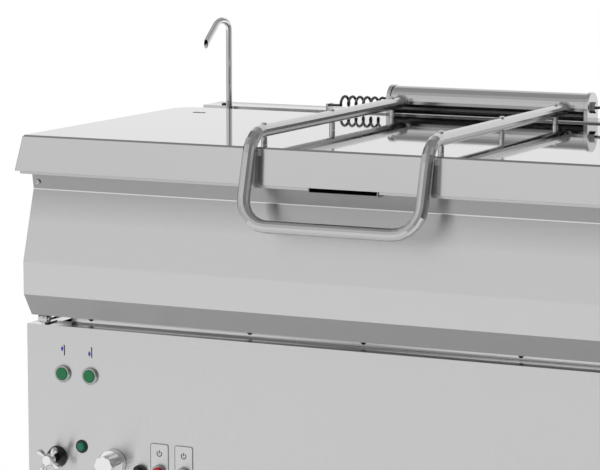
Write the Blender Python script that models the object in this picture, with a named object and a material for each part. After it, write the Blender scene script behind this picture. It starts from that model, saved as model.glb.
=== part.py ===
"""Tilting bratt pan on a 1200 x 700 mm cabinet, with a sprung lid, a tubular handle and a geared tilt drive.

Metres, +Z up, the front towards -Y, the floor at Z = 0 and the origin below the middle of the bounding box.
"""

import math

import bmesh
import bpy
from mathutils import Matrix, Vector

MM = 0.001  # one millimetre in metres
FIT = 0.3 * MM  # gap between pieces that touch
OVERRUN = 3 * MM  # how far a cutter runs past what it cuts
BREAK = 1 * MM  # broken edges of turned pieces
MERGE = 0.001 * MM  # points closer than this are one

# Cabinet
BODY_WIDTH = 1200 * MM
BODY_DEPTH = 700 * MM
RIM_HEIGHT = 850 * MM
LEG_HEIGHT = 150 * MM
SHEET = 2 * MM
PANEL_GAP = 17.5 * MM  # daylight between the pan's lower edge and the front panel
PANEL_FLANGE = 45 * MM
UPRIGHT = 30 * MM
RAIL = 26 * MM
LEG_RADIUS = 25 * MM
FOOT_STEM_RADIUS = 19 * MM
FOOT_PAD_RADIUS = 27 * MM
FOOT_PAD_HEIGHT = 14 * MM
FOOT_TRAVEL = 45 * MM  # stem that shows under the leg sleeve
FOOT_INSERT = 40 * MM
LEG_INSET = 70 * MM
REAR_SPACE = 65.5 * MM  # room for the hinge between the pan and the rear column
COLUMN_DEPTH = 75.5 * MM
HINGE_SHIFT = 8 * MM  # hinge's middle to the right of the cabinet's middle

# Pan cladding, from the rim down
FLANGE = 4 * MM
PAN_LEAD = 28 * MM  # cladding's front plane ahead of the panel
THROAT_INSET = 12.5 * MM
NECK_INSET = 17 * MM
NECK_SIDE_INSET = 12 * MM
NECK_DROP = 31 * MM
SLOPE_HEIGHT = 123 * MM
BAND_HEIGHT = 55.5 * MM
CHAMFER_HEIGHT = 37.5 * MM
CHAMFER_RUN = 20 * MM
CHAMFER_SIDE_RUN = 3 * MM
PAN_SIDE_MARGIN = 10 * MM  # cladding's side inside the cabinet's side
PAN_DEPTH = BODY_DEPTH + PAN_LEAD - REAR_SPACE - COLUMN_DEPTH
EDGE_RADIUS = 3 * MM

# Vessel
RIM_LEAD = 34 * MM  # rim's front edge ahead of the panel
VESSEL_SIDE = 45 * MM
VESSEL_FRONT = 58 * MM
VESSEL_REAR = 40 * MM
VESSEL_DEPTH = 194 * MM
VESSEL_WALL = 3 * MM
VESSEL_FLOOR = 8 * MM
VESSEL_CORNER = 30 * MM
VESSEL_FILLET = 16 * MM
SPOUT_WIDTH = 118 * MM
SPOUT_DEPTH = 6 * MM
SPOUT_LIP = 2.5 * MM
SPOUT_SHIFT = HINGE_SHIFT  # notch's middle, in line with the hinge's

# Heating under the vessel
HEATER_LENGTH = 800 * MM
HEATER_DEPTH = 400 * MM
HEATER_SLAB = 8 * MM
HEATER_ROD = 5 * MM
HEATER_RODS = 6
COVER_DROP = 30 * MM

# Trunnions
PIVOT_SETBACK = 1.5 * MM
PIVOT_DROP = 6 * MM
PIVOT_PIN = 5 * MM
PIVOT_LUG_RADIUS = 8.5 * MM
PIVOT_BRACKET = 7 * MM
PIVOT_LUG = 6 * MM
PIVOT_SIDE = 29 * MM  # bracket's outer face inside the cabinet's side
PIN_HEAD = 4 * MM
PIN_HEAD_RADIUS = 7.5 * MM
BRACKET_FOOT = 38 * MM
BRACKET_WRAP = math.radians(250)  # how far its round end goes round the pin, clear of the pan's edge
LUG_LENGTH = 95 * MM

# Lid
LID_SIDE_INSET = 10 * MM  # top's side edges inside the cabinet's sides
LID_WIDTH = BODY_WIDTH - 2 * LID_SIDE_INSET
LID_HEIGHT = 60 * MM
LID_LEAD = 25 * MM
LID_SETBACK = 19 * MM  # rear edge ahead of the pan's rear
LID_DEPTH = PAN_DEPTH - PAN_LEAD + LID_LEAD - LID_SETBACK
LID_FLARE = 10 * MM
LID_REAR_FLARE = 2 * MM
LID_HEM = 15 * MM
LID_BEND = 3 * MM
LID_REAR_RADIUS = 40 * MM

# Lid hinge
HINGE_SET = 50 * MM  # axis behind the lid's rear edge
HINGE_RISE = 25.5 * MM  # axis above the lid's top
HINGE_RADIUS = 25 * MM
HINGE_WALL = 3 * MM
EAR_SPAN = 384 * MM  # between the ears' outer faces
EAR = 7 * MM
EAR_RADIUS = 27 * MM
EAR_DROP = 150 * MM
EAR_FOOT = 36 * MM
EAR_FOOT_SHEET = 3 * MM
EAR_SLACK = 1 * MM
HINGE_PIN = 7 * MM
PIN_HEX = 10 * MM
PIN_HEX_HEIGHT = 6 * MM
HINGE_SOCKET = 30 * MM  # depth of the bolt's socket in each end of the hinge tube

# Handle
TUBE_RADIUS = 10.65 * MM
ARM_SPACING = 310 * MM
ARM_RISE = 23.15 * MM
HANDLE_STANDOFF = 15 * MM  # tube's axis ahead of the lid's top edge, at that edge
HANDLE_LEAN = 0.28  # forward run of the handle's legs for each length down
HANDLE_DROP = 121 * MM
HANDLE_BEND = 45 * MM
POST_RADIUS = 5 * MM
POST_SHARES = (0.0673, 0.5257, 0.9717)  # posts' places from the lid's front edge to its rear
SCREW_RADIUS = 5 * MM
SCREW_HEIGHT = 2.5 * MM
SCREW_SHANK = 2.5 * MM
ARM_OVERLAP = 4 * MM  # arms run into the hinge tube before the saddle trims them

# Lid springs
SPRING_MEAN = 8.5 * MM
SPRING_WIRE = 2.6 * MM
SPRING_PITCH = 14.8 * MM
SPRING_TURNS = 5
SPRING_SAG = 7 * MM
SPRING_LEAD = 19.7 * MM  # coil's near end from the ear
SPRING_TAIL = 22 * MM
SPRING_EYE = 5 * MM  # how far the spring's end sits in the bolt's head
SPRING_STEPS = 12  # points on one turn of the coil
ANCHOR = 4 * MM
ANCHOR_RISE = 13 * MM
ANCHOR_DEPTH = 44 * MM
ANCHOR_DROP = 120 * MM

# Rear column and water spout
COLUMN_SIDE = 12 * MM
COLUMN_BELOW_LID = 4 * MM
TAP_SIDE = 61 * MM  # swivel spout's axis inside the column's left side
TAP_STANDOUT = 11.5 * MM  # swivel spout's axis ahead of the column's face
TAP_COLLAR_RADIUS = 9 * MM
TAP_COLLAR_TOP = 12 * MM  # collar's top below the lid's top
TAP_COLLAR_HEIGHT = 40 * MM
PIPE_RADIUS = 6 * MM
PIPE_BORE = 5 * MM
PIPE_RISE = 164 * MM
PIPE_BEND = 18 * MM
PIPE_REACH = 60 * MM
PIPE_FALL = 41 * MM
PIPE_TURN = math.radians(18)  # from straight ahead, towards the left side
CROWN_SHARE = 0.4505  # part of the spout's reach before it turns down

# Tilt drive
MODULE = 4 * MM
QUADRANT_TEETH = 80  # on the full circle
PINION_TEETH = 14
PRESSURE_ANGLE = math.radians(20)
BACKLASH = 0.5 * MM
DRIVE_ANGLE = math.radians(1)
FIRST_TOOTH = -19
LAST_TOOTH = 1
TIP_SHARE = 0.95  # tooth heights as shares of the module
ROOT_SHARE = 1.25
QUADRANT_SIDE = 100 * MM  # quadrant's middle inside the cabinet's right side
QUADRANT_WEB_SHARE = 0.35  # sine of the angle where the quadrant's rim meets its web
QUADRANT = 12 * MM
QUADRANT_RIM = 40 * MM
QUADRANT_FOOT = 60 * MM
QUADRANT_FOOT_START = 62 * MM
QUADRANT_FOOT_LENGTH = 88 * MM
QUADRANT_FOOT_PLATE = 6 * MM
PINION_WIDTH = 18 * MM
SHAFT_RADIUS = 10 * MM
GEARBOX_WIDTH = 56 * MM
GEARBOX_HEIGHT = 66 * MM
GEARBOX_DEPTH = 90 * MM
MOTOR_RADIUS = 27 * MM
MOTOR_LENGTH = 150 * MM
MOTOR_NECK = 6 * MM
MOTOR_SHOULDER = 3 * MM
MOTOR_NECK_SHARE = 0.8
GEARBOX_GAP = 3 * MM  # between the gearbox and the pinion
SHAFT_SHORT = 6 * MM  # shaft's end inside the gearbox's far side
DRIVE_BRACKET = 6 * MM

# Controls: X from the cabinet's left side, Z below the front panel's top edge
PUSH_RADIUS = 14.5 * MM
PUSH_SHANK = 11 * MM
PUSH_DEPTH = 42 * MM
PUSH_BEZEL = 5 * MM
PUSH_CAP_RADIUS = 11 * MM
PUSH_CAP_PROUD = 2 * MM
PUSH_TRAVEL = 2 * MM
PUSH_WELL_FLOOR = 1 * MM
SMALL_RADIUS = 10.5 * MM
SMALL_SHANK = 8 * MM
SMALL_BEZEL = 8 * MM
SMALL_CAP_RADIUS = 7 * MM
SMALL_CAP_PROUD = 6 * MM
GREEN_PLACES = ((70 * MM, 81 * MM), (123 * MM, 81 * MM))
RED_PLACES = ((255 * MM, 231 * MM), (301 * MM, 231 * MM))
BLACK_PLACE = (218 * MM, 235 * MM)
LAMP_PLACE = (105 * MM, 204 * MM)
LAMP_RADIUS = 11.5 * MM
LAMP_SHANK = 8 * MM
LAMP_RING = 2 * MM
LAMP_LENS_RADIUS = 9 * MM
LAMP_LENS = 5 * MM
LAMP_SEAT = 1.5 * MM  # how far the ring covers the lens's edge
KNOB_PLACE = (168 * MM, 225 * MM)
KNOB_SKIRT_RADIUS = 23 * MM
KNOB_SKIRT = 14 * MM
KNOB_GRIP_RADIUS = 17 * MM
KNOB_GRIP = 24 * MM
KNOB_LOBES = 8
KNOB_LOBE_DEPTH = 1.8 * MM
KNOB_SPINDLE = 3 * MM
KNOB_STANDOFF = 1 * MM
KNOB_SPINDLE_END = 3 * MM  # spindle behind the panel
THERMOSTAT_RADIUS = 24 * MM
THERMOSTAT_DEPTH = 28 * MM
TAP_PLACE = (57 * MM, 226 * MM)
TAP_ROSE_RADIUS = 19 * MM
TAP_ROSE = 12 * MM
TAP_STEM_RADIUS = 6 * MM
TAP_HUB_RADIUS = 10 * MM
TAP_HUB = 17 * MM
TAP_STANDOFF = 20 * MM
TAP_SPOKES = 4
TAP_SPOKE_RADIUS = 4 * MM
TAP_SPOKE_REACH = 25 * MM
TAP_KNOB_RADIUS = 6 * MM
TAP_BODY_RADIUS = 13 * MM
TAP_BODY_DEPTH = 50 * MM
TAP_NECK = 6 * MM  # neck behind the panel
TAP_HUB_BEVEL = 3 * MM
TAP_REST_TURN = math.radians(12)
ROSE_SHARE = 0.8  # small radius of the rose, hub and spoke knobs
STEM_SHARE = 0.6  # stem's radius as a share of the neck's
SPOKE_NECK_SHARE = 1.6  # places on a spoke from its end, as shares of its knob's radius
SPOKE_TIP_SHARE = 0.333

# Rest of the layout follows from the sizes above
HANDLE_FRONT = LID_LEAD + HANDLE_STANDOFF + HANDLE_LEAN * HANDLE_DROP + TUBE_RADIUS
FRONT = (HANDLE_FRONT - BODY_DEPTH) / 2  # Y of the front panel's face
REAR = FRONT + BODY_DEPTH
LID_BOTTOM = RIM_HEIGHT + FIT
LID_TOP = LID_BOTTOM + LID_HEIGHT
LID_FRONT = FRONT - LID_LEAD
LID_REAR = LID_FRONT + LID_DEPTH
RIM_FRONT = FRONT - RIM_LEAD
PAN_HALF = BODY_WIDTH / 2 - PAN_SIDE_MARGIN
PAN_FRONT = FRONT - PAN_LEAD
PAN_REAR = PAN_FRONT + PAN_DEPTH
NECK_Z = RIM_HEIGHT - NECK_DROP
FOLD_HIGH_Z = NECK_Z - SLOPE_HEIGHT
FOLD_LOW_Z = FOLD_HIGH_Z - BAND_HEIGHT
PAN_BOTTOM = FOLD_LOW_Z - CHAMFER_HEIGHT
PANEL_TOP = PAN_BOTTOM - PANEL_GAP
FRAME_TOP = PANEL_TOP - SHEET - FIT
PIVOT_Y = FRONT + PIVOT_SETBACK
PIVOT_Z = PAN_BOTTOM - PIVOT_DROP
HINGE_Y = LID_REAR + HINGE_SET
HINGE_Z = LID_TOP + HINGE_RISE
VESSEL_BOTTOM = RIM_HEIGHT - VESSEL_DEPTH - VESSEL_FLOOR
COLUMN_FRONT = REAR - COLUMN_DEPTH
COLUMN_TOP = LID_TOP - COLUMN_BELOW_LID
QUADRANT_PITCH = MODULE * QUADRANT_TEETH / 2
PINION_PITCH = MODULE * PINION_TEETH / 2
CENTRE_DISTANCE = QUADRANT_PITCH + PINION_PITCH
PINION_Y = PIVOT_Y + CENTRE_DISTANCE * math.cos(DRIVE_ANGLE)
PINION_Z = PIVOT_Z + CENTRE_DISTANCE * math.sin(DRIVE_ANGLE)
QUADRANT_X = BODY_WIDTH / 2 - QUADRANT_SIDE
GEARBOX_RIGHT = QUADRANT_X - PINION_WIDTH / 2 - GEARBOX_GAP
GEARBOX_LEFT = GEARBOX_RIGHT - GEARBOX_WIDTH
EAR_OUT = EAR_SPAN / 2


def clear_scene():
    """Remove everything that the scene starts with."""
    for thing in list(bpy.data.objects):
        bpy.data.objects.remove(thing)


def material(name, colour, metallic, roughness):
    """One Principled material."""
    found = bpy.data.materials.get(name)
    if found:
        return found
    made = bpy.data.materials.new(name)
    made.use_nodes = True
    shader = made.node_tree.nodes["Principled BSDF"]
    shader.inputs["Base Color"].default_value = (*colour, 1)
    shader.inputs["Metallic"].default_value = metallic
    shader.inputs["Roughness"].default_value = roughness
    made.diffuse_color = (*colour, 1)
    return made


def brushed():
    return material("brushed_steel", (0.62, 0.63, 0.64), 1, 0.35)


def polished():
    return material("polished_steel", (0.72, 0.73, 0.74), 1, 0.12)


def dark_steel():
    return material("dark_steel", (0.05, 0.05, 0.055), 0.8, 0.45)


def chrome():
    return material("chrome", (0.8, 0.8, 0.82), 1, 0.06)


def painted(name, colour, roughness=0.35):
    return material(name, colour, 0, roughness)


def finish(mesh_builder, name, surface, smooth=True, axis_point=None):
    """Turn a bmesh into a named object, with its origin on its axis where one is given."""
    bmesh.ops.remove_doubles(mesh_builder, verts=mesh_builder.verts, dist=MERGE)
    bmesh.ops.recalc_face_normals(mesh_builder, faces=mesh_builder.faces)
    if axis_point is not None:
        bmesh.ops.translate(mesh_builder, vec=-Vector(axis_point), verts=mesh_builder.verts)
    mesh = bpy.data.meshes.new(name)
    mesh_builder.to_mesh(mesh)
    mesh_builder.free()
    if smooth:
        mesh.shade_smooth()
        mesh.set_sharp_from_angle(angle=math.radians(35))
    thing = bpy.data.objects.new(name, mesh)
    if axis_point is not None:
        thing.location = axis_point
    bpy.context.scene.collection.objects.link(thing)
    if surface is not None:
        mesh.materials.append(surface)
    return thing


def combine(thing, cutter, operation):
    """Boolean modifier whose second shape is kept out of renders."""
    cutter.hide_render = True
    cutter.display_type = "WIRE"
    step = thing.modifiers.new(operation.lower(), "BOOLEAN")
    step.operation = operation
    step.solver = "EXACT"
    step.object = cutter


def cut(thing, *cutters):
    for cutter in cutters:
        combine(thing, cutter, "DIFFERENCE")


def weld(thing, *others):
    for other in others:
        combine(thing, other, "UNION")


def box(name, low, high, surface=None):
    """Block between two corners."""
    builder = bmesh.new()
    bmesh.ops.create_cube(builder, size=1)
    size = Vector(high) - Vector(low)
    middle = (Vector(high) + Vector(low)) / 2
    bmesh.ops.scale(builder, vec=size, verts=builder.verts)
    bmesh.ops.translate(builder, vec=middle, verts=builder.verts)
    return finish(builder, name, surface, smooth=False)


def turned(name, profile, base, direction, surface=None, segments=24, axis_point=None):
    """Solid of revolution: profile holds (distance along the axis, radius), from base along direction."""
    builder = bmesh.new()
    rings = []
    for along, radius in profile:
        ring = []
        for step in range(segments):
            angle = 2 * math.pi * step / segments
            point = (radius * math.cos(angle), radius * math.sin(angle), along)
            ring.append(builder.verts.new(point))
        rings.append(ring)
    for ring, following in zip(rings, rings[1:]):
        for step in range(segments):
            after = (step + 1) % segments
            builder.faces.new((ring[step], ring[after], following[after], following[step]))
    builder.faces.new(rings[0])
    builder.faces.new(rings[-1])
    turn = Vector((0, 0, 1)).rotation_difference(Vector(direction)).to_matrix().to_4x4()
    bmesh.ops.transform(builder, matrix=Matrix.Translation(base) @ turn, verts=builder.verts)
    return finish(builder, name, surface, axis_point=axis_point)


def rod(name, start, end, radius, surface=None, segments=16, axis_point=None):
    """Plain round bar between two points."""
    way = Vector(end) - Vector(start)
    return turned(name, ((0, radius), (way.length, radius)), start, way, surface, segments, axis_point)


def extruded(name, outline, along, start, depth, surface=None, axis_point=None, smooth=False):
    """Outline in the plane across an axis, extruded along it. X takes (y, z), Y takes (x, z)."""
    builder = bmesh.new()
    if along == "X":
        near = [builder.verts.new((start, y, z)) for y, z in outline]
        way = Vector((depth, 0, 0))
    else:
        near = [builder.verts.new((x, start, z)) for x, z in outline]
        way = Vector((0, depth, 0))
    face = builder.faces.new(near)
    grown = bmesh.ops.extrude_face_region(builder, geom=[face], use_keep_orig=True)
    far = [item for item in grown["geom"] if isinstance(item, bmesh.types.BMVert)]
    bmesh.ops.translate(builder, vec=way, verts=far)
    return finish(builder, name, surface, smooth, axis_point)


def arc(centre, radius, start, end, steps):
    """Points on a circle from one angle to another, both ends included."""
    points = []
    for step in range(steps + 1):
        angle = start + (end - start) * step / steps
        points.append((centre[0] + radius * math.cos(angle), centre[1] + radius * math.sin(angle)))
    return points


def rounded_ring(half, front, rear, height, front_radius, rear_radius, steps=3):
    """Horizontal loop of points round a rectangle with rounded corners."""
    corners = (
        (half, front, front_radius, -math.pi / 2),
        (half, rear, rear_radius, 0),
        (-half, rear, rear_radius, math.pi / 2),
        (-half, front, front_radius, math.pi),
    )
    points = []
    for x, y, radius, start in corners:
        centre = (x - math.copysign(radius, x), y + (radius if y == front else -radius))
        points += [(px, py, height) for px, py in arc(centre, radius, start, start + math.pi / 2, steps)]
    return points


def skin(name, rings, surface, closed=False, smooth=True):
    """Surface through loops of points, capped at both ends or closed into a sleeve."""
    builder = bmesh.new()
    loops = [[builder.verts.new(point) for point in ring] for ring in rings]
    pairs = list(zip(loops, loops[1:]))
    if closed:
        pairs.append((loops[-1], loops[0]))
    for loop, following in pairs:
        for step in range(len(loop)):
            after = (step + 1) % len(loop)
            builder.faces.new((loop[step], loop[after], following[after], following[step]))
    if not closed:
        builder.faces.new(loops[0])
        builder.faces.new(loops[-1])
    return finish(builder, name, surface, smooth)


def bent_path(corners, radii, steps=5):
    """Centre line through corner points, each inner corner rounded to its bend radius."""
    points = [Vector(corners[0])]
    for before, corner, after, radius in zip(corners, corners[1:], corners[2:], radii):
        corner = Vector(corner)
        back = (Vector(before) - corner).normalized()
        ahead = (Vector(after) - corner).normalized()
        half_angle = back.angle(ahead) / 2
        reach = radius / math.tan(half_angle)
        centre = corner + (back + ahead).normalized() * (radius / math.sin(half_angle))
        start = corner + back * reach - centre
        end = corner + ahead * reach - centre
        sweep = start.angle(end)
        for step in range(steps + 1):
            part = step / steps
            weighted = start * math.sin((1 - part) * sweep) + end * math.sin(part * sweep)
            points.append(centre + weighted / math.sin(sweep))
    points.append(Vector(corners[-1]))
    return points


def tube(name, points, radius, surface=None, sides=12, axis_point=None, end_plane=None):
    """Round section swept along a path, without twist. Its end can lie in a plane, given by the normal."""
    builder = bmesh.new()
    tangent = (points[1] - points[0]).normalized()
    side = tangent.orthogonal().normalized()
    rings = []
    for index, point in enumerate(points):
        before = points[max(index - 1, 0)]
        after = points[min(index + 1, len(points) - 1)]
        fresh = (after - before).normalized()
        side = tangent.rotation_difference(fresh) @ side
        tangent = fresh
        across = tangent.cross(side)
        ring = []
        for step in range(sides):
            angle = 2 * math.pi * step / sides
            out = side * math.cos(angle) + across * math.sin(angle)
            ring.append(builder.verts.new(point + out * radius))
        rings.append(ring)
    if end_plane is not None:
        for corner in rings[-1]:
            past = (corner.co - points[-1]).dot(end_plane) / tangent.dot(end_plane)
            corner.co -= tangent * past
    for ring, following in zip(rings, rings[1:]):
        for step in range(sides):
            later = (step + 1) % sides
            builder.faces.new((ring[step], ring[later], following[later], following[step]))
    builder.faces.new(rings[0])
    builder.faces.new(rings[-1])
    return finish(builder, name, surface, axis_point=axis_point)


def make_frame():
    """Welded chassis: four uprights on leg sleeves, two rings of rails and the drive's beam."""
    outer = BODY_WIDTH / 2 - SHEET - FIT
    near = FRONT + SHEET + FIT
    far = REAR - SHEET - FIT
    low = LEG_HEIGHT + SHEET + FIT
    step = (UPRIGHT - RAIL) / 2
    frame = None
    for side in (-1, 1):
        for start in (near, far - UPRIGHT):
            edges = sorted((side * outer, side * (outer - UPRIGHT)))
            high = (edges[1], start + UPRIGHT, FRAME_TOP)
            upright = box("base_frame_upright", (edges[0], start, low), high)
            if frame is None:
                frame = upright
                frame.name = "base_frame"
                frame.data.materials.append(brushed())
            else:
                weld(frame, upright)
    for height in (low + step, FRAME_TOP - step - RAIL):
        for side in (-1, 1):
            edges = sorted((side * (outer - step), side * (outer - step - RAIL)))
            rail_low = (edges[0], near + step, height)
            weld(frame, box("base_frame_side_rail", rail_low, (edges[1], far - step, height + RAIL)))
        for start in (near + step, far - step - RAIL):
            rail_high = (outer - step, start + RAIL, height + RAIL)
            weld(frame, box("base_frame_cross_rail", (-outer + step, start, height), rail_high))
    plate_right = GEARBOX_LEFT - FIT
    beam_right = plate_right - DRIVE_BRACKET / 2
    beam_top = FRAME_TOP - step - OVERRUN
    beam_low = (beam_right - RAIL, near + UPRIGHT / 2, beam_top - RAIL)
    weld(frame, box("base_frame_beam", beam_low, (beam_right, far - UPRIGHT / 2, beam_top)))
    plate_low = (plate_right - DRIVE_BRACKET, PINION_Y - GEARBOX_DEPTH / 2, beam_top - RAIL + OVERRUN)
    plate_high = (plate_right, PINION_Y + GEARBOX_DEPTH / 2, PINION_Z + GEARBOX_HEIGHT / 2 - OVERRUN)
    weld(frame, box("base_frame_drive_plate", plate_low, plate_high))
    return frame


def leg_places():
    """Name and centre of each leg."""
    across = BODY_WIDTH / 2 - LEG_INSET
    places = []
    for end, y in (("front", FRONT + LEG_INSET), ("rear", REAR - LEG_INSET)):
        for side, x in (("left", -across), ("right", across)):
            places.append((f"{end}_{side}", x, y))
    return places


def make_feet():
    """Leg sleeves are on the base tray; each foot is a stem and pad that slides into its sleeve."""
    for name, x, y in leg_places():
        top = FOOT_PAD_HEIGHT + FOOT_TRAVEL + FOOT_INSERT
        profile = (
            (0, FOOT_PAD_RADIUS - EDGE_RADIUS),
            (EDGE_RADIUS, FOOT_PAD_RADIUS),
            (FOOT_PAD_HEIGHT - EDGE_RADIUS, FOOT_PAD_RADIUS),
            (FOOT_PAD_HEIGHT, FOOT_STEM_RADIUS),
            (top, FOOT_STEM_RADIUS),
        )
        turned(f"foot_{name}", profile, (x, y, 0), (0, 0, 1), brushed(), segments=20)


def make_tray():
    """Bottom sheet of the cabinet with four leg sleeves welded under it."""
    half = BODY_WIDTH / 2 - SHEET - FIT
    tray_low = (-half, FRONT + SHEET + FIT, LEG_HEIGHT)
    tray = box("base_tray", tray_low, (half, REAR - SHEET - FIT, LEG_HEIGHT + SHEET), brushed())
    bottom = FOOT_PAD_HEIGHT + FOOT_TRAVEL
    for name, x, y in leg_places():
        top = (x, y, LEG_HEIGHT + SHEET / 2)
        weld(tray, rod(f"base_tray_sleeve_{name}", (x, y, bottom), top, LEG_RADIUS, segments=20))
    for name, x, y in leg_places():
        start = (x, y, bottom - OVERRUN)
        end = (x, y, bottom + FOOT_INSERT + FIT)
        cut(tray, rod(f"base_tray_bore_{name}", start, end, FOOT_STEM_RADIUS + FIT, segments=20))
    return tray


def control_holes():
    """Name, place and radius of every hole in the front panel."""
    holes = [("lamp", LAMP_PLACE, LAMP_SHANK)]
    holes += [("knob", KNOB_PLACE, KNOB_SPINDLE), ("tap", TAP_PLACE, TAP_STEM_RADIUS)]
    holes += [(f"green_{index}", place, PUSH_SHANK) for index, place in enumerate(GREEN_PLACES)]
    holes += [(f"red_{index}", place, SMALL_SHANK) for index, place in enumerate(RED_PLACES)]
    holes.append(("black", BLACK_PLACE, SMALL_SHANK))
    return holes


def control_point(place, proud=0):
    """World point of a control's axis, at a distance proud of the panel."""
    return (place[0] - BODY_WIDTH / 2, FRONT - proud, PANEL_TOP - place[1])


def make_panels():
    """Front, side and rear sheets. The front sheet turns back at its top and bottom edges."""
    half = BODY_WIDTH / 2
    folded = (
        (FRONT, LEG_HEIGHT),
        (FRONT, PANEL_TOP),
        (FRONT + PANEL_FLANGE, PANEL_TOP),
        (FRONT + PANEL_FLANGE, PANEL_TOP - SHEET),
        (FRONT + SHEET, PANEL_TOP - SHEET),
        (FRONT + SHEET, LEG_HEIGHT),
    )
    front = extruded("front_panel", folded, "X", -half, BODY_WIDTH, brushed())
    for name, place, radius in control_holes():
        x, y, z = control_point(place, OVERRUN)
        cut(front, rod(f"front_panel_hole_{name}", (x, y, z), (x, y + SHEET + 2 * OVERRUN, z), radius + FIT))
    for name, side in (("left", -1), ("right", 1)):
        edges = sorted((side * half, side * (half - SHEET)))
        box(
            f"side_panel_{name}",
            (edges[0], FRONT + SHEET + FIT, LEG_HEIGHT),
            (edges[1], REAR, PANEL_TOP - SHEET - FIT),
            brushed(),
        )
    inner = half - SHEET - FIT
    box("rear_panel", (-inner, REAR - SHEET, LEG_HEIGHT), (inner, REAR, PANEL_TOP - SHEET - FIT), brushed())


def make_column():
    """Rear column: a box of sheet, open below, that carries the water spout."""
    half = BODY_WIDTH / 2 - COLUMN_SIDE
    low = PANEL_TOP - SHEET
    column = box("rear_column", (-half, COLUMN_FRONT, low), (half, REAR, COLUMN_TOP), brushed())
    hollow = box(
        "rear_column_hollow",
        (-half + SHEET, COLUMN_FRONT + SHEET, low - OVERRUN),
        (half - SHEET, REAR - SHEET, COLUMN_TOP - SHEET),
    )
    cut(column, hollow)
    x, y, z = tap_foot()
    inlet = z + TAP_COLLAR_HEIGHT / 2
    start = (x, COLUMN_FRONT - OVERRUN, inlet)
    end = (x, COLUMN_FRONT + SHEET + OVERRUN, inlet)
    cut(column, rod("rear_column_inlet", start, end, PIPE_RADIUS + FIT))
    return column


def tap_foot():
    """Lowest point of the swivel spout's collar, on its axis."""
    x = TAP_SIDE + COLUMN_SIDE - BODY_WIDTH / 2
    y = COLUMN_FRONT - TAP_STANDOUT
    return x, y, LID_TOP - TAP_COLLAR_TOP - TAP_COLLAR_HEIGHT


def make_water_spout():
    """Elbow from the column, and the bent pipe that swivels in it."""
    x, y, low = tap_foot()
    top = low + TAP_COLLAR_HEIGHT
    elbow = turned(
        "water_elbow",
        (
            (0, TAP_COLLAR_RADIUS - EDGE_RADIUS),
            (EDGE_RADIUS, TAP_COLLAR_RADIUS),
            (TAP_COLLAR_HEIGHT, TAP_COLLAR_RADIUS),
        ),
        (x, y, low),
        (0, 0, 1),
        chrome(),
        segments=16,
    )
    middle = low + TAP_COLLAR_HEIGHT / 2
    inlet_end = (x, COLUMN_FRONT + SHEET + OVERRUN, middle)
    weld(elbow, rod("water_elbow_inlet", (x, y, middle), inlet_end, PIPE_RADIUS))
    rose_start = (x, COLUMN_FRONT - FIT - EDGE_RADIUS, middle)
    weld(elbow, rod("water_elbow_rose", rose_start, (x, COLUMN_FRONT - FIT, middle), TAP_COLLAR_RADIUS))
    socket_floor = (x, y, middle + PIPE_RADIUS)
    cut(elbow, rod("water_elbow_socket", socket_floor, (x, y, top + OVERRUN), PIPE_RADIUS + FIT))
    way = Vector((-math.sin(PIPE_TURN), -math.cos(PIPE_TURN), 0))
    foot = Vector((x, y, middle + PIPE_RADIUS + FIT))
    crown = Vector((x, y, LID_TOP + PIPE_RISE - PIPE_RADIUS))
    shoulder = crown + way * (PIPE_REACH * CROWN_SHARE)
    end = crown + way * PIPE_REACH - Vector((0, 0, PIPE_FALL))
    path = bent_path((foot, crown, shoulder, end), (PIPE_BEND, PIPE_BEND))
    pipe = tube("water_spout", path, PIPE_RADIUS, chrome(), 12, (x, y, LID_TOP), end_plane=way)
    bore_start = end + (end - shoulder).normalized() * (2 * PIPE_RADIUS)
    bore_end = end - (end - shoulder).normalized() * PIPE_BEND
    cut(pipe, rod("water_spout_bore", bore_start, bore_end, PIPE_BORE))
    return pipe


def pan_ring(inset, side_inset, height, wall):
    """Loop of the pan's cladding at one height, moved in by the wall."""
    return rounded_ring(
        PAN_HALF - side_inset - wall,
        PAN_FRONT + inset + wall,
        PAN_REAR - wall,
        height,
        EDGE_RADIUS,
        EDGE_RADIUS,
        steps=2,
    )


def make_cladding():
    """Folded outer skin of the pan: throat, neck, forward slope, upright band and lower chamfer."""
    levels = (
        (THROAT_INSET, NECK_SIDE_INSET, RIM_HEIGHT - FLANGE - FIT),
        (NECK_INSET, NECK_SIDE_INSET, NECK_Z),
        (0, 0, FOLD_HIGH_Z),
        (0, 0, FOLD_LOW_Z),
        (CHAMFER_RUN, CHAMFER_SIDE_RUN, PAN_BOTTOM),
    )
    outside = [pan_ring(inset, side, height, 0) for inset, side, height in levels]
    inside = [pan_ring(inset, side, height, SHEET) for inset, side, height in reversed(levels)]
    cladding = skin("pan_cladding", outside + inside, brushed(), closed=True, smooth=False)
    cut(cladding, spout_notch("pan_cladding_notch"))
    return cladding


def spout_notch(name):
    """Cutter for the pouring lip's place in the rim, the throat and the vessel's front wall."""
    half = SPOUT_WIDTH / 2 + SHEET + FIT
    low = (SPOUT_SHIFT - half, RIM_FRONT - OVERRUN, RIM_HEIGHT - SPOUT_DEPTH - SHEET - FIT)
    high = (SPOUT_SHIFT + half, RIM_FRONT + VESSEL_FRONT + OVERRUN, RIM_HEIGHT + OVERRUN)
    return box(name, low, high)


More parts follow.
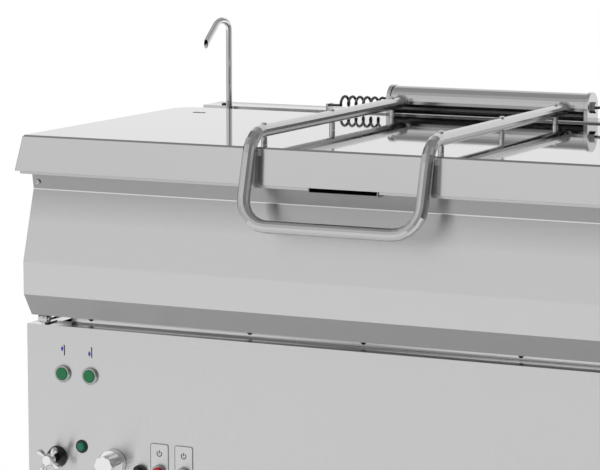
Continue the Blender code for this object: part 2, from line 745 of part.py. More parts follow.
def make_vessel():
    """Open vessel with a broad rim, a thick floor and a pouring notch at the front."""
    rim_half = BODY_WIDTH / 2 - PAN_SIDE_MARGIN
    rim_low = RIM_HEIGHT - FLANGE
    half = rim_half - VESSEL_SIDE
    front = RIM_FRONT + VESSEL_FRONT
    rear = PAN_REAR - VESSEL_REAR
    floor = RIM_HEIGHT - VESSEL_DEPTH

    def rim(height):
        return rounded_ring(rim_half, RIM_FRONT, PAN_REAR, height, EDGE_RADIUS, EDGE_RADIUS)

    def wall(height, out=0, corner=VESSEL_CORNER):
        return rounded_ring(half + out, front - out, rear + out, height, corner + out, corner + out)

    rings = (
        wall(VESSEL_BOTTOM, VESSEL_WALL - EDGE_RADIUS, VESSEL_CORNER),
        wall(VESSEL_BOTTOM + EDGE_RADIUS, VESSEL_WALL),
        wall(rim_low, VESSEL_WALL),
        rim(rim_low),
        rim(RIM_HEIGHT),
        wall(RIM_HEIGHT),
        wall(floor + VESSEL_FILLET),
        wall(floor + VESSEL_FILLET / 4, -VESSEL_FILLET / 4, VESSEL_CORNER),
        wall(floor, -VESSEL_FILLET, VESSEL_CORNER),
    )
    vessel = skin("pan_vessel", rings, polished())
    cut(vessel, spout_notch("pan_vessel_notch"))
    return vessel


def make_pouring_lip():
    """Folded channel that lines the pouring notch."""
    half = SPOUT_WIDTH / 2
    floor = RIM_HEIGHT - SPOUT_DEPTH
    outline = (
        (-half - SHEET, floor - SHEET),
        (half + SHEET, floor - SHEET),
        (half + SHEET, RIM_HEIGHT),
        (half, RIM_HEIGHT),
        (half, floor),
        (-half, floor),
        (-half, RIM_HEIGHT),
        (-half - SHEET, RIM_HEIGHT),
    )
    moved = [(x + SPOUT_SHIFT, z) for x, z in outline]
    depth = SPOUT_LIP + VESSEL_FRONT
    extruded("pouring_lip", moved, "Y", RIM_FRONT - SPOUT_LIP, depth, polished())


def make_heating():
    """Heating plate with clamped rods under the vessel, and the tray that covers it."""
    top = VESSEL_BOTTOM - FIT
    middle = (RIM_FRONT + VESSEL_FRONT + PAN_REAR - VESSEL_REAR) / 2
    half = HEATER_LENGTH / 2
    plate = box(
        "heating_plate",
        (-half, middle - HEATER_DEPTH / 2, top - HEATER_SLAB),
        (half, middle + HEATER_DEPTH / 2, top),
        dark_steel(),
    )
    for index in range(HEATER_RODS):
        y = middle + HEATER_DEPTH * ((index + 0.5) / HEATER_RODS - 0.5)
        z = top - HEATER_SLAB
        reach = half - HEATER_ROD
        weld(plate, rod(f"heating_rod_{index}", (-reach, y, z), (reach, y, z), HEATER_ROD, segments=8))
    low = top - COVER_DROP
    edge = SHEET + OVERRUN
    cover = box(
        "heating_cover",
        (-half - edge, middle - HEATER_DEPTH / 2 - edge, low),
        (half + edge, middle + HEATER_DEPTH / 2 + edge, top),
        brushed(),
    )
    hollow = box(
        "heating_cover_hollow",
        (-half - FIT, middle - HEATER_DEPTH / 2 - FIT, low + SHEET),
        (half + FIT, middle + HEATER_DEPTH / 2 + FIT, top + OVERRUN),
    )
    cut(cover, hollow)


def make_trunnions():
    """Fixed brackets on the cabinet, lugs under the pan and the pins that join them."""
    reach = PIVOT_LUG_RADIUS
    for name, side in (("left", -1), ("right", 1)):
        outer = side * (BODY_WIDTH / 2 - PIVOT_SIDE)
        inner = outer - side * PIVOT_BRACKET
        foot = PANEL_TOP + FIT
        toe = PIVOT_Y + reach * math.cos(BRACKET_WRAP)
        bracket = arc((PIVOT_Y, PIVOT_Z), reach, 0, BRACKET_WRAP, 14)
        bracket += [(toe, foot), (PIVOT_Y + BRACKET_FOOT, foot), (PIVOT_Y + BRACKET_FOOT, foot + SHEET)]
        bracket += [(PIVOT_Y + reach, foot + SHEET)]
        start = min(outer, inner)
        stand = extruded(f"trunnion_bracket_{name}", bracket, "X", start, PIVOT_BRACKET, brushed())
        lug_outer = inner - side * FIT
        lug_inner = lug_outer - side * PIVOT_LUG
        top = VESSEL_BOTTOM - FIT
        lug = arc((PIVOT_Y, PIVOT_Z), reach, math.pi, 2 * math.pi, 10)
        lug += [(PIVOT_Y + reach, PIVOT_Z + reach), (PIVOT_Y + LUG_LENGTH, PAN_BOTTOM + reach)]
        lug += [(PIVOT_Y + LUG_LENGTH, top), (PIVOT_Y + reach, top), (PIVOT_Y - reach / 2, PIVOT_Z + reach)]
        arm = extruded(f"trunnion_lug_{name}", lug, "X", min(lug_outer, lug_inner), PIVOT_LUG, brushed())
        ends = sorted((outer + side * OVERRUN, lug_inner - side * OVERRUN))
        near, far = [(x, PIVOT_Y, PIVOT_Z) for x in ends]
        cut(stand, rod(f"trunnion_bore_fixed_{name}", near, far, PIVOT_PIN + FIT))
        cut(arm, rod(f"trunnion_bore_pan_{name}", near, far, PIVOT_PIN + FIT))
        head = outer + side * (FIT + PIN_HEAD)
        profile = (
            (0, PIN_HEAD_RADIUS - BREAK),
            (BREAK, PIN_HEAD_RADIUS),
            (PIN_HEAD, PIN_HEAD_RADIUS),
            (PIN_HEAD, PIVOT_PIN),
            (PIN_HEAD + PIVOT_BRACKET + PIVOT_LUG + 2 * FIT + OVERRUN, PIVOT_PIN),
        )
        place = (head, PIVOT_Y, PIVOT_Z)
        turned(f"trunnion_pin_{name}", profile, place, (-side, 0, 0), dark_steel(), segments=16)


def involute(angle):
    return math.tan(angle) - angle


def tooth_flank(teeth, tip, root, steps=4):
    """Radius and half angle of a tooth at points from its root to its tip."""
    pitch = MODULE * teeth / 2
    base = pitch * math.cos(PRESSURE_ANGLE)
    half_at_pitch = math.pi / (2 * teeth) - BACKLASH / (2 * pitch)
    start = max(base, root)
    flank = [(root, half_at_pitch + involute(PRESSURE_ANGLE) - involute(math.acos(base / start)))]
    for step in range(steps):
        radius = start + (tip - start) * step / (steps - 1)
        if radius > root:
            roll = math.acos(min(base / radius, 1))
            flank.append((radius, half_at_pitch + involute(PRESSURE_ANGLE) - involute(roll)))
    return flank


def toothed_edge(teeth, centres):
    """Polar outline of teeth at the given centre angles, in rising order."""
    pitch = MODULE * teeth / 2
    flank = tooth_flank(teeth, pitch + MODULE * TIP_SHARE, pitch - MODULE * ROOT_SHARE)
    edge = []
    for centre in centres:
        edge += [(radius, centre - half) for radius, half in flank]
        edge += [(radius, centre + half) for radius, half in reversed(flank)]
    return edge


def make_quadrant():
    """Toothed quadrant about the trunnion axis, bolted under the vessel by its foot."""
    pitch_angle = 2 * math.pi / QUADRANT_TEETH
    centres = [DRIVE_ANGLE + index * pitch_angle for index in range(FIRST_TOOTH, LAST_TOOTH + 1)]
    edge = toothed_edge(QUADRANT_TEETH, centres)
    outline = [(PIVOT_Y + r * math.cos(a), PIVOT_Z + r * math.sin(a)) for r, a in edge]
    top = VESSEL_BOTTOM - FIT
    foot_start = PIVOT_Y + QUADRANT_FOOT_START
    foot_end = foot_start + QUADRANT_FOOT_LENGTH
    outline += [(foot_end, top), (foot_start, top)]
    inner = QUADRANT_PITCH - MODULE * ROOT_SHARE - QUADRANT_RIM
    low_angle = centres[0] - pitch_angle / 2
    web_angle = -math.asin(QUADRANT_WEB_SHARE)
    outline.append((foot_start, PIVOT_Z + inner * math.sin(web_angle)))
    outline += arc((PIVOT_Y, PIVOT_Z), inner, web_angle, low_angle, 12)
    outline.append((PIVOT_Y + edge[0][0] * math.cos(low_angle), PIVOT_Z + edge[0][0] * math.sin(low_angle)))
    start = QUADRANT_X - QUADRANT / 2
    quadrant = extruded("tilt_quadrant", outline, "X", start, QUADRANT, dark_steel())
    foot = box(
        "tilt_quadrant_foot",
        (QUADRANT_X - QUADRANT_FOOT / 2, foot_start, top - QUADRANT_FOOT_PLATE),
        (QUADRANT_X + QUADRANT_FOOT / 2, foot_end, top),
    )
    weld(quadrant, foot)
    return quadrant


def make_drive():
    """Pinion, worm gearbox with its motor, and the plate that holds them to the beam."""
    pitch_angle = 2 * math.pi / PINION_TEETH
    first = DRIVE_ANGLE + math.pi + pitch_angle / 2
    edge = toothed_edge(PINION_TEETH, [first + index * pitch_angle for index in range(PINION_TEETH)])
    outline = [(PINION_Y + r * math.cos(a), PINION_Z + r * math.sin(a)) for r, a in edge]
    axis = (QUADRANT_X, PINION_Y, PINION_Z)
    start = QUADRANT_X - PINION_WIDTH / 2
    pinion = extruded("tilt_pinion", outline, "X", start, PINION_WIDTH, dark_steel(), axis)
    right = GEARBOX_RIGHT
    left = GEARBOX_LEFT
    shaft_end = (left + SHAFT_SHORT, PINION_Y, PINION_Z)
    shaft = rod("tilt_pinion_shaft", axis, shaft_end, SHAFT_RADIUS, axis_point=axis)
    weld(pinion, shaft)
    gearbox = box(
        "tilt_gearmotor",
        (left, PINION_Y - GEARBOX_DEPTH / 2, PINION_Z - GEARBOX_HEIGHT / 2),
        (right, PINION_Y + GEARBOX_DEPTH / 2, PINION_Z + GEARBOX_HEIGHT / 2),
        painted("motor_grey", (0.16, 0.17, 0.18), 0.5),
    )
    x = (left + right) / 2
    foot = PINION_Z - GEARBOX_HEIGHT / 2
    profile = (
        (0, MOTOR_RADIUS * MOTOR_NECK_SHARE),
        (MOTOR_NECK, MOTOR_RADIUS * MOTOR_NECK_SHARE),
        (MOTOR_NECK + MOTOR_SHOULDER, MOTOR_RADIUS),
        (MOTOR_LENGTH - MOTOR_NECK, MOTOR_RADIUS),
        (MOTOR_LENGTH, MOTOR_RADIUS * MOTOR_NECK_SHARE),
    )
    motor_place = (x, PINION_Y + GEARBOX_DEPTH / 6, foot + MOTOR_SHOULDER)
    weld(gearbox, turned("tilt_motor", profile, motor_place, (0, 0, -1), segments=20))
    bore_start = (left + SHAFT_SHORT / 2, PINION_Y, PINION_Z)
    bore_end = (right + OVERRUN, PINION_Y, PINION_Z)
    cut(gearbox, rod("tilt_gearmotor_bore", bore_start, bore_end, SHAFT_RADIUS + FIT))


def lid_ring(inset, flare, height):
    """Loop of the lid at one height. Flare of 1 is the skirt's bottom edge, 0 its top edge."""
    half = LID_WIDTH / 2 + LID_FLARE * flare - inset
    front = LID_FRONT - LID_FLARE * flare + inset
    rear = LID_REAR + LID_REAR_FLARE * flare - inset
    rear_radius = max(LID_REAR_RADIUS - inset, EDGE_RADIUS)
    return rounded_ring(half, front, rear, height, EDGE_RADIUS, rear_radius, steps=4)


def make_lid():
    """Folded lid: flat top, flared skirt and a hem that turns in to rest on the rim."""
    rings = (
        lid_ring(LID_BEND, 0, LID_TOP),
        lid_ring(0, 0, LID_TOP - LID_BEND),
        lid_ring(0, 1, LID_BOTTOM),
        lid_ring(LID_HEM, 1, LID_BOTTOM),
        lid_ring(LID_HEM, 1, LID_BOTTOM + SHEET),
        lid_ring(SHEET, 1, LID_BOTTOM + SHEET),
        lid_ring(SHEET, 0, LID_TOP - LID_BEND),
        lid_ring(LID_BEND + SHEET, 0, LID_TOP - SHEET),
    )
    lid = skin("lid", rings, polished(), smooth=False)
    lid.location = (0, HINGE_Y, HINGE_Z)
    lid.data.transform(Matrix.Translation((0, -HINGE_Y, -HINGE_Z)))
    return lid


def on_hinge(x):
    """Point on the lid's axis, at a distance to the right of the hinge's middle."""
    return (HINGE_SHIFT + x, HINGE_Y, HINGE_Z)


def make_hinge():
    """Hinge tube on the lid, its two pivot bolts and the ears on the pan."""
    half = EAR_OUT - EAR - EAR_SLACK
    hinge = rod("hinge_tube", on_hinge(-half), on_hinge(half), HINGE_RADIUS, polished(), 28, on_hinge(0))
    for name, side in (("left", -1), ("right", 1)):
        socket = [on_hinge(side * x) for x in (half + OVERRUN, half - HINGE_SOCKET)]
        cut(hinge, rod(f"hinge_tube_socket_{name}", *socket, HINGE_PIN + FIT))
        make_ear(name, side)
        head = side * (EAR_OUT + FIT + PIN_HEX_HEIGHT)
        profile = ((0, PIN_HEX - BREAK), (BREAK, PIN_HEX), (PIN_HEX_HEIGHT, PIN_HEX))
        place = on_hinge(head)
        bolt = turned(f"hinge_bolt_{name}", profile, place, (-side, 0, 0), polished(), 6, place)
        shank = [on_hinge(side * x) for x in (EAR_OUT + FIT + BREAK, half - HINGE_SOCKET + FIT)]
        weld(bolt, rod(f"hinge_bolt_shank_{name}", *shank, HINGE_PIN))
        eye = [on_hinge(head + side * OVERRUN), on_hinge(head - side * SPRING_EYE)]
        cut(bolt, rod(f"hinge_bolt_eye_{name}", *eye, SPRING_WIRE + FIT, segments=10))


def make_ear(name, side):
    """Plate with a foot, bolted to the pan's rear, that carries one end of the hinge."""
    wall_front = PAN_REAR + FIT
    outer = HINGE_SHIFT + side * EAR_OUT
    foot = RIM_HEIGHT - EAR_DROP
    outline = arc((HINGE_Y, HINGE_Z), EAR_RADIUS, 0, math.pi, 14)
    outline += [(HINGE_Y - EAR_RADIUS, RIM_HEIGHT), (wall_front, RIM_HEIGHT - FLANGE), (wall_front, foot)]
    outline += [(HINGE_Y, foot), (HINGE_Y + EAR_RADIUS, RIM_HEIGHT - EAR_DROP / 2)]
    ear = extruded(f"hinge_ear_{name}", outline, "X", min(outer, outer - side * EAR), EAR, brushed())
    weld(ear, rear_foot(f"hinge_ear_foot_{name}", outer, outer - side * EAR_FOOT, foot))
    bore = [on_hinge(side * x) for x in (EAR_OUT + OVERRUN, EAR_OUT - EAR - OVERRUN)]
    cut(ear, rod(f"hinge_ear_bore_{name}", *bore, HINGE_PIN + FIT))


def rear_foot(name, start, end, bottom):
    """Sheet against the pan's rear wall, between two X places, that carries a plate."""
    wall_front = PAN_REAR + FIT
    low = (min(start, end), wall_front, bottom)
    return box(name, low, (max(start, end), wall_front + EAR_FOOT_SHEET, RIM_HEIGHT - FLANGE - FIT))


def make_springs():
    """Open coils outboard of the ears, from the pivot bolt to an anchor on the pan."""
    for name, side in (("left", -1), ("right", 1)):
        head = EAR_OUT + FIT + PIN_HEX_HEIGHT
        coil_start = EAR_OUT + SPRING_LEAD
        coil_z = HINGE_Z - SPRING_SAG
        points = [Vector(on_hinge(side * x)) for x in (head - SPRING_EYE + FIT, head + SPRING_WIRE)]
        steps = SPRING_TURNS * SPRING_STEPS + SPRING_STEPS // 2
        for step in range(steps + 1):
            angle = math.pi / 2 + 2 * math.pi * step / SPRING_STEPS
            x = coil_start + SPRING_PITCH * step / SPRING_STEPS
            y = HINGE_Y + SPRING_MEAN * math.cos(angle)
            points.append(Vector((HINGE_SHIFT + side * x, y, coil_z + SPRING_MEAN * math.sin(angle))))
        anchor_x = points[-1].x + side * SPRING_TAIL
        points.append(Vector((points[-1].x + side * SPRING_PITCH / 4, HINGE_Y, points[-1].z)))
        points.append(Vector((anchor_x + side * (ANCHOR + SPRING_WIRE), HINGE_Y, points[-1].z)))
        tube(f"lid_spring_{name}", points, SPRING_WIRE, dark_steel(), sides=6)
        make_anchor(name, side, anchor_x, points[-1].z)


def make_anchor(name, side, x, hole_z):
    """Plate on the back of the pan that holds a spring's far end."""
    wall_front = PAN_REAR + FIT
    rear = wall_front + ANCHOR_DEPTH
    top = LID_TOP + ANCHOR_RISE
    foot = RIM_HEIGHT - ANCHOR_DROP
    outline = (
        (wall_front, foot),
        (rear - ANCHOR_DEPTH / 2, foot),
        (rear, foot + ANCHOR_DROP / 2),
        (rear, top),
        (HINGE_Y - ANCHOR_DEPTH / 4, top),
        (HINGE_Y - ANCHOR_DEPTH / 4, RIM_HEIGHT),
        (wall_front, RIM_HEIGHT - FLANGE - FIT),
    )
    plate = extruded(f"spring_anchor_{name}", outline, "X", min(x, x + side * ANCHOR), ANCHOR, brushed())
    weld(plate, rear_foot(f"spring_anchor_foot_{name}", x, x + side * EAR_FOOT, foot))
    hole_start = (x - side * OVERRUN, HINGE_Y, hole_z)
    hole_end = (x + side * (ANCHOR + OVERRUN), HINGE_Y, hole_z)
    cut(plate, rod(f"spring_anchor_hole_{name}", hole_start, hole_end, SPRING_WIRE + FIT, segments=10))


def make_handle():
    """One bent tube: two arms from the hinge tube, two legs down the lid's front and the bar."""
    arm_z = LID_TOP + ARM_RISE
    corner_y = LID_FRONT - HANDLE_STANDOFF + HANDLE_LEAN * ARM_RISE
    bar_y = LID_FRONT - HANDLE_STANDOFF - HANDLE_LEAN * HANDLE_DROP
    bar_z = LID_TOP - HANDLE_DROP
    back = HINGE_Y - math.sqrt(HINGE_RADIUS**2 - TUBE_RADIUS**2) + ARM_OVERLAP
    x = ARM_SPACING / 2
    corners = (
        (-x, back, arm_z),
        (-x, corner_y, arm_z),
        (-x, bar_y, bar_z),
        (x, bar_y, bar_z),
        (x, corner_y, arm_z),
        (x, back, arm_z),
    )
    path = bent_path(corners, (HANDLE_BEND,) * 4)
    handle = tube("lid_handle", path, TUBE_RADIUS, brushed(), sides=14, axis_point=on_hinge(0))
    for side, end in (("left", -1), ("right", 1)):
        for index, share in enumerate(POST_SHARES):
            y = LID_FRONT + LID_DEPTH * share
            make_post(f"handle_post_{side}_{index + 1}", end * x, y, arm_z, handle)
    saddle = rod("lid_handle_saddle", on_hinge(-2 * x), on_hinge(2 * x), HINGE_RADIUS + FIT, segments=28)
    cut(handle, saddle)
    return handle


def make_post(name, x, y, arm_z, handle):
    """Post with its screw through the handle's arm."""
    top = arm_z + TUBE_RADIUS
    profile = (
        (0, POST_RADIUS),
        (ARM_RISE - TUBE_RADIUS - FIT, POST_RADIUS),
        (ARM_RISE - TUBE_RADIUS - FIT, SCREW_SHANK),
        (ARM_RISE + TUBE_RADIUS, SCREW_SHANK),
        (ARM_RISE + TUBE_RADIUS, SCREW_RADIUS),
        (ARM_RISE + TUBE_RADIUS + SCREW_HEIGHT / 2, SCREW_RADIUS),
        (ARM_RISE + TUBE_RADIUS + SCREW_HEIGHT, SCREW_RADIUS / 2),
    )
    base = (x, y, LID_TOP + FIT)
    turned(name, profile, base, (0, 0, 1), polished(), segments=12, axis_point=base)
    bore_start = (x, y, arm_z - TUBE_RADIUS - OVERRUN)
    cut(handle, rod(f"{name}_bore", bore_start, (x, y, top + OVERRUN), SCREW_SHANK + FIT, segments=12))


def make_push_button(name, place, colour, large):
    """Fixed bezel with its shank behind the panel, and the cap that travels in it."""
    radius = PUSH_RADIUS if large else SMALL_RADIUS
    shank = PUSH_SHANK if large else SMALL_SHANK
    bezel = PUSH_BEZEL if large else SMALL_BEZEL
    cap_radius = PUSH_CAP_RADIUS if large else SMALL_CAP_RADIUS
    proud = PUSH_CAP_PROUD if large else SMALL_CAP_PROUD
    front = control_point(place, bezel)
    ring = chrome() if large else painted("black_plastic", (0.015, 0.015, 0.017))
    total = bezel + PUSH_DEPTH
    profile = (
        (0, radius - BREAK),
        (BREAK, radius),
        (bezel - FIT, radius),
        (bezel - FIT, shank),
        (total, shank),
    )
    body = turned(f"{name}_bezel", profile, front, (0, 1, 0), ring, segments=24)
    well = bezel - PUSH_WELL_FLOOR
    x, y, z = front
    cut(body, rod(f"{name}_well", (x, y - OVERRUN, z), (x, y + well, z), cap_radius + FIT, segments=24))
    cap_front = (x, y - proud, z)
    cap_length = proud + well - PUSH_TRAVEL - FIT
    cap_profile = ((0, cap_radius - BREAK), (BREAK, cap_radius), (cap_length, cap_radius))
    turned(f"{name}_cap", cap_profile, cap_front, (0, 1, 0), colour, segments=20, axis_point=cap_front)


def make_lamp():
    """Indicator lamp: dark ring, domed lens and its body behind the panel."""
    front = control_point(LAMP_PLACE, LAMP_RING)
    profile = (
        (0, LAMP_RADIUS - BREAK),
        (BREAK, LAMP_RADIUS),
        (LAMP_RING - FIT, LAMP_RADIUS),
        (LAMP_RING - FIT, LAMP_SHANK),
        (LAMP_RING + PUSH_DEPTH, LAMP_SHANK),
    )
    body = turned("lamp_body", profile, front, (0, 1, 0), painted("black_plastic", (0.015, 0.015, 0.017)))
    x, y, z = front
    seat = LAMP_LENS_RADIUS - LAMP_SEAT
    cut(body, rod("lamp_seat", (x, y - OVERRUN, z), (x, y + LAMP_RING, z), seat + FIT, segments=20))
    lens = (
        (0, seat / 2),
        (LAMP_LENS / 3, seat - BREAK / 2),
        (LAMP_LENS, seat),
        (LAMP_LENS + LAMP_RING - FIT, seat),
    )
    lens_front = (x, y - LAMP_LENS, z)
    glass = painted("green_lens", (0.0, 0.2, 0.09), 0.15)
    turned("lamp_lens", lens, lens_front, (0, 1, 0), glass, segments=20)


def make_knob():
    """Lobed thermostat knob on its spindle, and the thermostat behind the panel."""
    gap = KNOB_STANDOFF
    front = control_point(KNOB_PLACE, gap + KNOB_SKIRT + KNOB_GRIP)
    profile = (
        (KNOB_GRIP, KNOB_GRIP_RADIUS),
        (KNOB_GRIP, KNOB_SKIRT_RADIUS - BREAK),
        (KNOB_GRIP + BREAK, KNOB_SKIRT_RADIUS),
        (KNOB_GRIP + KNOB_SKIRT, KNOB_SKIRT_RADIUS),
    )
    knob = turned("thermostat_knob", profile, front, (0, 1, 0), chrome(), segments=32, axis_point=front)
    x, y, z = front
    outline = []
    steps = KNOB_LOBES * 6
    for step in range(steps):
        angle = 2 * math.pi * step / steps
        radius = KNOB_GRIP_RADIUS - KNOB_LOBE_DEPTH * (0.5 - 0.5 * math.cos(KNOB_LOBES * angle))
        outline.append((x + radius * math.cos(angle), z + radius * math.sin(angle)))
    weld(knob, extruded("thermostat_knob_grip", outline, "Y", y, KNOB_GRIP + BREAK, axis_point=front))
    spindle_start = (x, FRONT - gap - BREAK, z)
    spindle_end = (x, FRONT + SHEET + KNOB_SPINDLE_END, z)
    weld(knob, rod("thermostat_spindle", spindle_start, spindle_end, KNOB_SPINDLE, axis_point=front))
    back = (x, FRONT + SHEET + FIT, z)
    body_end = (x, back[1] + THERMOSTAT_DEPTH, z)
    body = rod("thermostat_body", back, body_end, THERMOSTAT_RADIUS, dark_steel(), 20)
    bore_end = (x, spindle_end[1] + FIT, z)
    cut(body, rod("thermostat_body_bore", (x, FRONT, z), bore_end, KNOB_SPINDLE + FIT, segments=12))


def make_valve():
    """Water valve: rose on the panel, body behind it and a four-armed handle on its stem."""
    x, y, z = control_point(TAP_PLACE)
    stem_front = y - TAP_STANDOFF - TAP_HUB / 2
    rose_profile = (
        (0, TAP_ROSE_RADIUS * ROSE_SHARE),
        (TAP_ROSE - FIT, TAP_ROSE_RADIUS),
    )
    rose = turned("valve_body", rose_profile, (x, y - TAP_ROSE, z), (0, 1, 0), dark_steel())
    neck_end = (x, y + SHEET + TAP_NECK, z)
    weld(rose, rod("valve_neck", (x, y - TAP_ROSE / 2, z), neck_end, TAP_STEM_RADIUS))
    body_start = (x, y + SHEET + FIT, z)
    body_end = (x, y + TAP_BODY_DEPTH, z)
    weld(rose, rod("valve_cartridge", body_start, body_end, TAP_BODY_RADIUS, segments=20))
    stem_radius = TAP_STEM_RADIUS * STEM_SHARE
    bore_end = y + SHEET
    bore_start = (x, y - TAP_ROSE - OVERRUN, z)
    cut(rose, rod("valve_bore", bore_start, (x, bore_end, z), stem_radius + FIT, segments=12))
    axis = (x, y - TAP_STANDOFF, z)
    hub_profile = (
        (0, TAP_HUB_RADIUS * ROSE_SHARE),
        (TAP_HUB_BEVEL, TAP_HUB_RADIUS),
        (TAP_HUB - TAP_HUB_BEVEL, TAP_HUB_RADIUS),
        (TAP_HUB, TAP_HUB_RADIUS * ROSE_SHARE),
    )
    hub_front = y - TAP_STANDOFF - TAP_HUB
    handle = turned("valve_handle", hub_profile, (x, hub_front, z), (0, 1, 0), chrome(), 20, axis)
    stem = [(x, stem_front, z), (x, bore_end - FIT, z)]
    weld(handle, rod("valve_stem", *stem, stem_radius, segments=12, axis_point=axis))
    spoke_y = hub_front + TAP_HUB / 2
    for index in range(TAP_SPOKES):
        angle = 2 * math.pi * (index + 0.5) / TAP_SPOKES + TAP_REST_TURN
        way = Vector((math.cos(angle), 0, math.sin(angle)))
        profile = (
            (0, TAP_SPOKE_RADIUS),
            (TAP_SPOKE_REACH - 2 * TAP_KNOB_RADIUS, TAP_SPOKE_RADIUS),
            (TAP_SPOKE_REACH - TAP_KNOB_RADIUS * SPOKE_NECK_SHARE, TAP_KNOB_RADIUS * ROSE_SHARE),
            (TAP_SPOKE_REACH - TAP_KNOB_RADIUS, TAP_KNOB_RADIUS),
            (TAP_SPOKE_REACH - TAP_KNOB_RADIUS * SPOKE_TIP_SHARE, TAP_KNOB_RADIUS * ROSE_SHARE),
            (TAP_SPOKE_REACH, TAP_KNOB_RADIUS * SPOKE_TIP_SHARE),
        )
        spoke = turned(f"valve_spoke_{index}", profile, (x, spoke_y, z), way, segments=12, axis_point=axis)
        weld(handle, spoke)


def build():
    clear_scene()
    make_frame()
    make_feet()
    make_tray()
    make_panels()
    make_column()
    make_water_spout()
    make_vessel()
    make_pouring_lip()
    make_cladding()
    make_heating()
    make_trunnions()
    make_quadrant()
    make_drive()
    make_lid()
    make_hinge()
    make_springs()
    make_handle()
    green = painted("green_plastic", (0.0, 0.22, 0.09), 0.3)
    red = painted("red_plastic", (0.45, 0.0, 0.01), 0.3)
    black = painted("black_plastic", (0.015, 0.015, 0.017))
    make_push_button("raise_button", GREEN_PLACES[0], green, large=True)
    make_push_button("lower_button", GREEN_PLACES[1], green, large=True)
    make_push_button("red_button_left", RED_PLACES[0], red, large=False)
    make_push_button("red_button_right", RED_PLACES[1], red, large=False)
    make_push_button("black_button", BLACK_PLACE, black, large=False)
    make_lamp()
    make_knob()
    make_valve()


build()
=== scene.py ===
"""Looks of the tilting bratt pan: the photograph's camera and light, materials, small pieces."""

import math

import bmesh
import bpy
from mathutils import Matrix, Vector


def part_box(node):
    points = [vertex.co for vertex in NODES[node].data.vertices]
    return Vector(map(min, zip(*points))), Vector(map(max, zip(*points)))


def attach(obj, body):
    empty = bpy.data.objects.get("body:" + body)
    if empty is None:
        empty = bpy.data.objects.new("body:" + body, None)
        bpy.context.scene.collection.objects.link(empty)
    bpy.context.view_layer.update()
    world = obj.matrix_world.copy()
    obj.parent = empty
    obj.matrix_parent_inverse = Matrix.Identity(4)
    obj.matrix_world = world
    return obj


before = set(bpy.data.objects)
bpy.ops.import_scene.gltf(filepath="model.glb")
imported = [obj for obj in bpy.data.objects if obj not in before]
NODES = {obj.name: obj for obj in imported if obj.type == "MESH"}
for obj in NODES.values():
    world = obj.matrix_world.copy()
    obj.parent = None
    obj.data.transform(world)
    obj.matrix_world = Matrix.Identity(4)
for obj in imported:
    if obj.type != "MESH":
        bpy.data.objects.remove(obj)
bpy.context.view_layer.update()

MM = 0.001


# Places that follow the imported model
def low(node):
    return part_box(node)[0]


def high(node):
    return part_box(node)[1]


FRONT = low("front_panel").y
PANEL_TOP = high("front_panel").z
LID_TOP = high("lid").z
LID_OVERHANG = 10 * MM  # how far the lid's side and front run past its flat top
LID_FRONT = low("lid").y + LID_OVERHANG
LID_BEND = (3.2 * MM, 2.2 * MM)  # depths below the top where the skirt's finish gives way
NECK_FOLD = high("pan_vessel").z - 31 * MM  # crease under the pan's neck
LOW_FOLD = low("pan_cladding").z + 37.5 * MM  # bend near the pan's bottom

# Tones of the pan's sheet: its own, and shares of it for painted shade on the neck and below the
# bend, for painted shade darkening towards the crease, and for a painted highlight on the crease's
# own line
SKIN_TONE = 0.67
PAINTED_SHADE_SHARE = 0.54
CREASE_SHADE_SHARE = 0.72
FOLD_HIGHLIGHT_SHARE = 1.25
FOLD_LINE = 0.4 * MM
CREASE_SHADE_SPAN = 55 * MM
RANGE_SOCKETS = ("From Min", "From Max", "To Min", "To Max")


# Materials
class Graph:
    """Short way to write a material's nodes."""

    def __init__(self, name):
        self.material = bpy.data.materials.new(name)
        self.material.use_nodes = True
        self.tree = self.material.node_tree
        self.shader = self.tree.nodes["Principled BSDF"]

    def node(self, kind, **values):
        made = self.tree.nodes.new(kind)
        for key, value in values.items():
            setattr(made, key, value)
        return made

    def link(self, source, target):
        self.tree.links.new(source, target)

    def place(self, scale=(1, 1, 1)):
        """The piece's own coordinates, scaled."""
        coordinates = self.node("ShaderNodeTexCoord")
        mapping = self.node("ShaderNodeMapping")
        mapping.inputs["Scale"].default_value = scale
        self.link(coordinates.outputs["Object"], mapping.inputs["Vector"])
        return mapping.outputs["Vector"]

    def noise(self, scale, detail=3, roughness=0.5, stretch=(1, 1, 1)):
        made = self.node("ShaderNodeTexNoise")
        made.inputs["Scale"].default_value = scale
        made.inputs["Detail"].default_value = detail
        made.inputs["Roughness"].default_value = roughness
        self.link(self.place(stretch), made.inputs["Vector"])
        return made.outputs["Fac"]

    def spread(self, source, low_in, high_in, low_out, high_out):
        made = self.node("ShaderNodeMapRange")
        for key, value in zip(RANGE_SOCKETS, (low_in, high_in, low_out, high_out)):
            made.inputs[key].default_value = value
        self.link(source, made.inputs["Value"])
        return made.outputs["Result"]

    def blend(self, factor, first, second):
        made = self.node("ShaderNodeMix", data_type="RGBA")
        made.inputs["A"].default_value = (*first, 1)
        made.inputs["B"].default_value = (*second, 1)
        self.link(factor, made.inputs["Factor"])
        return made.outputs["Result"]

    def bump(self, height, strength, distance):
        made = self.node("ShaderNodeBump")
        made.inputs["Strength"].default_value = strength
        made.inputs["Distance"].default_value = distance
        self.link(height, made.inputs["Height"])
        self.link(made.outputs["Normal"], self.shader.inputs["Normal"])

    def base(self, colour, metallic, roughness):
        self.shader.inputs["Base Color"].default_value = (*colour, 1)
        self.shader.inputs["Metallic"].default_value = metallic
        self.shader.inputs["Roughness"].default_value = roughness


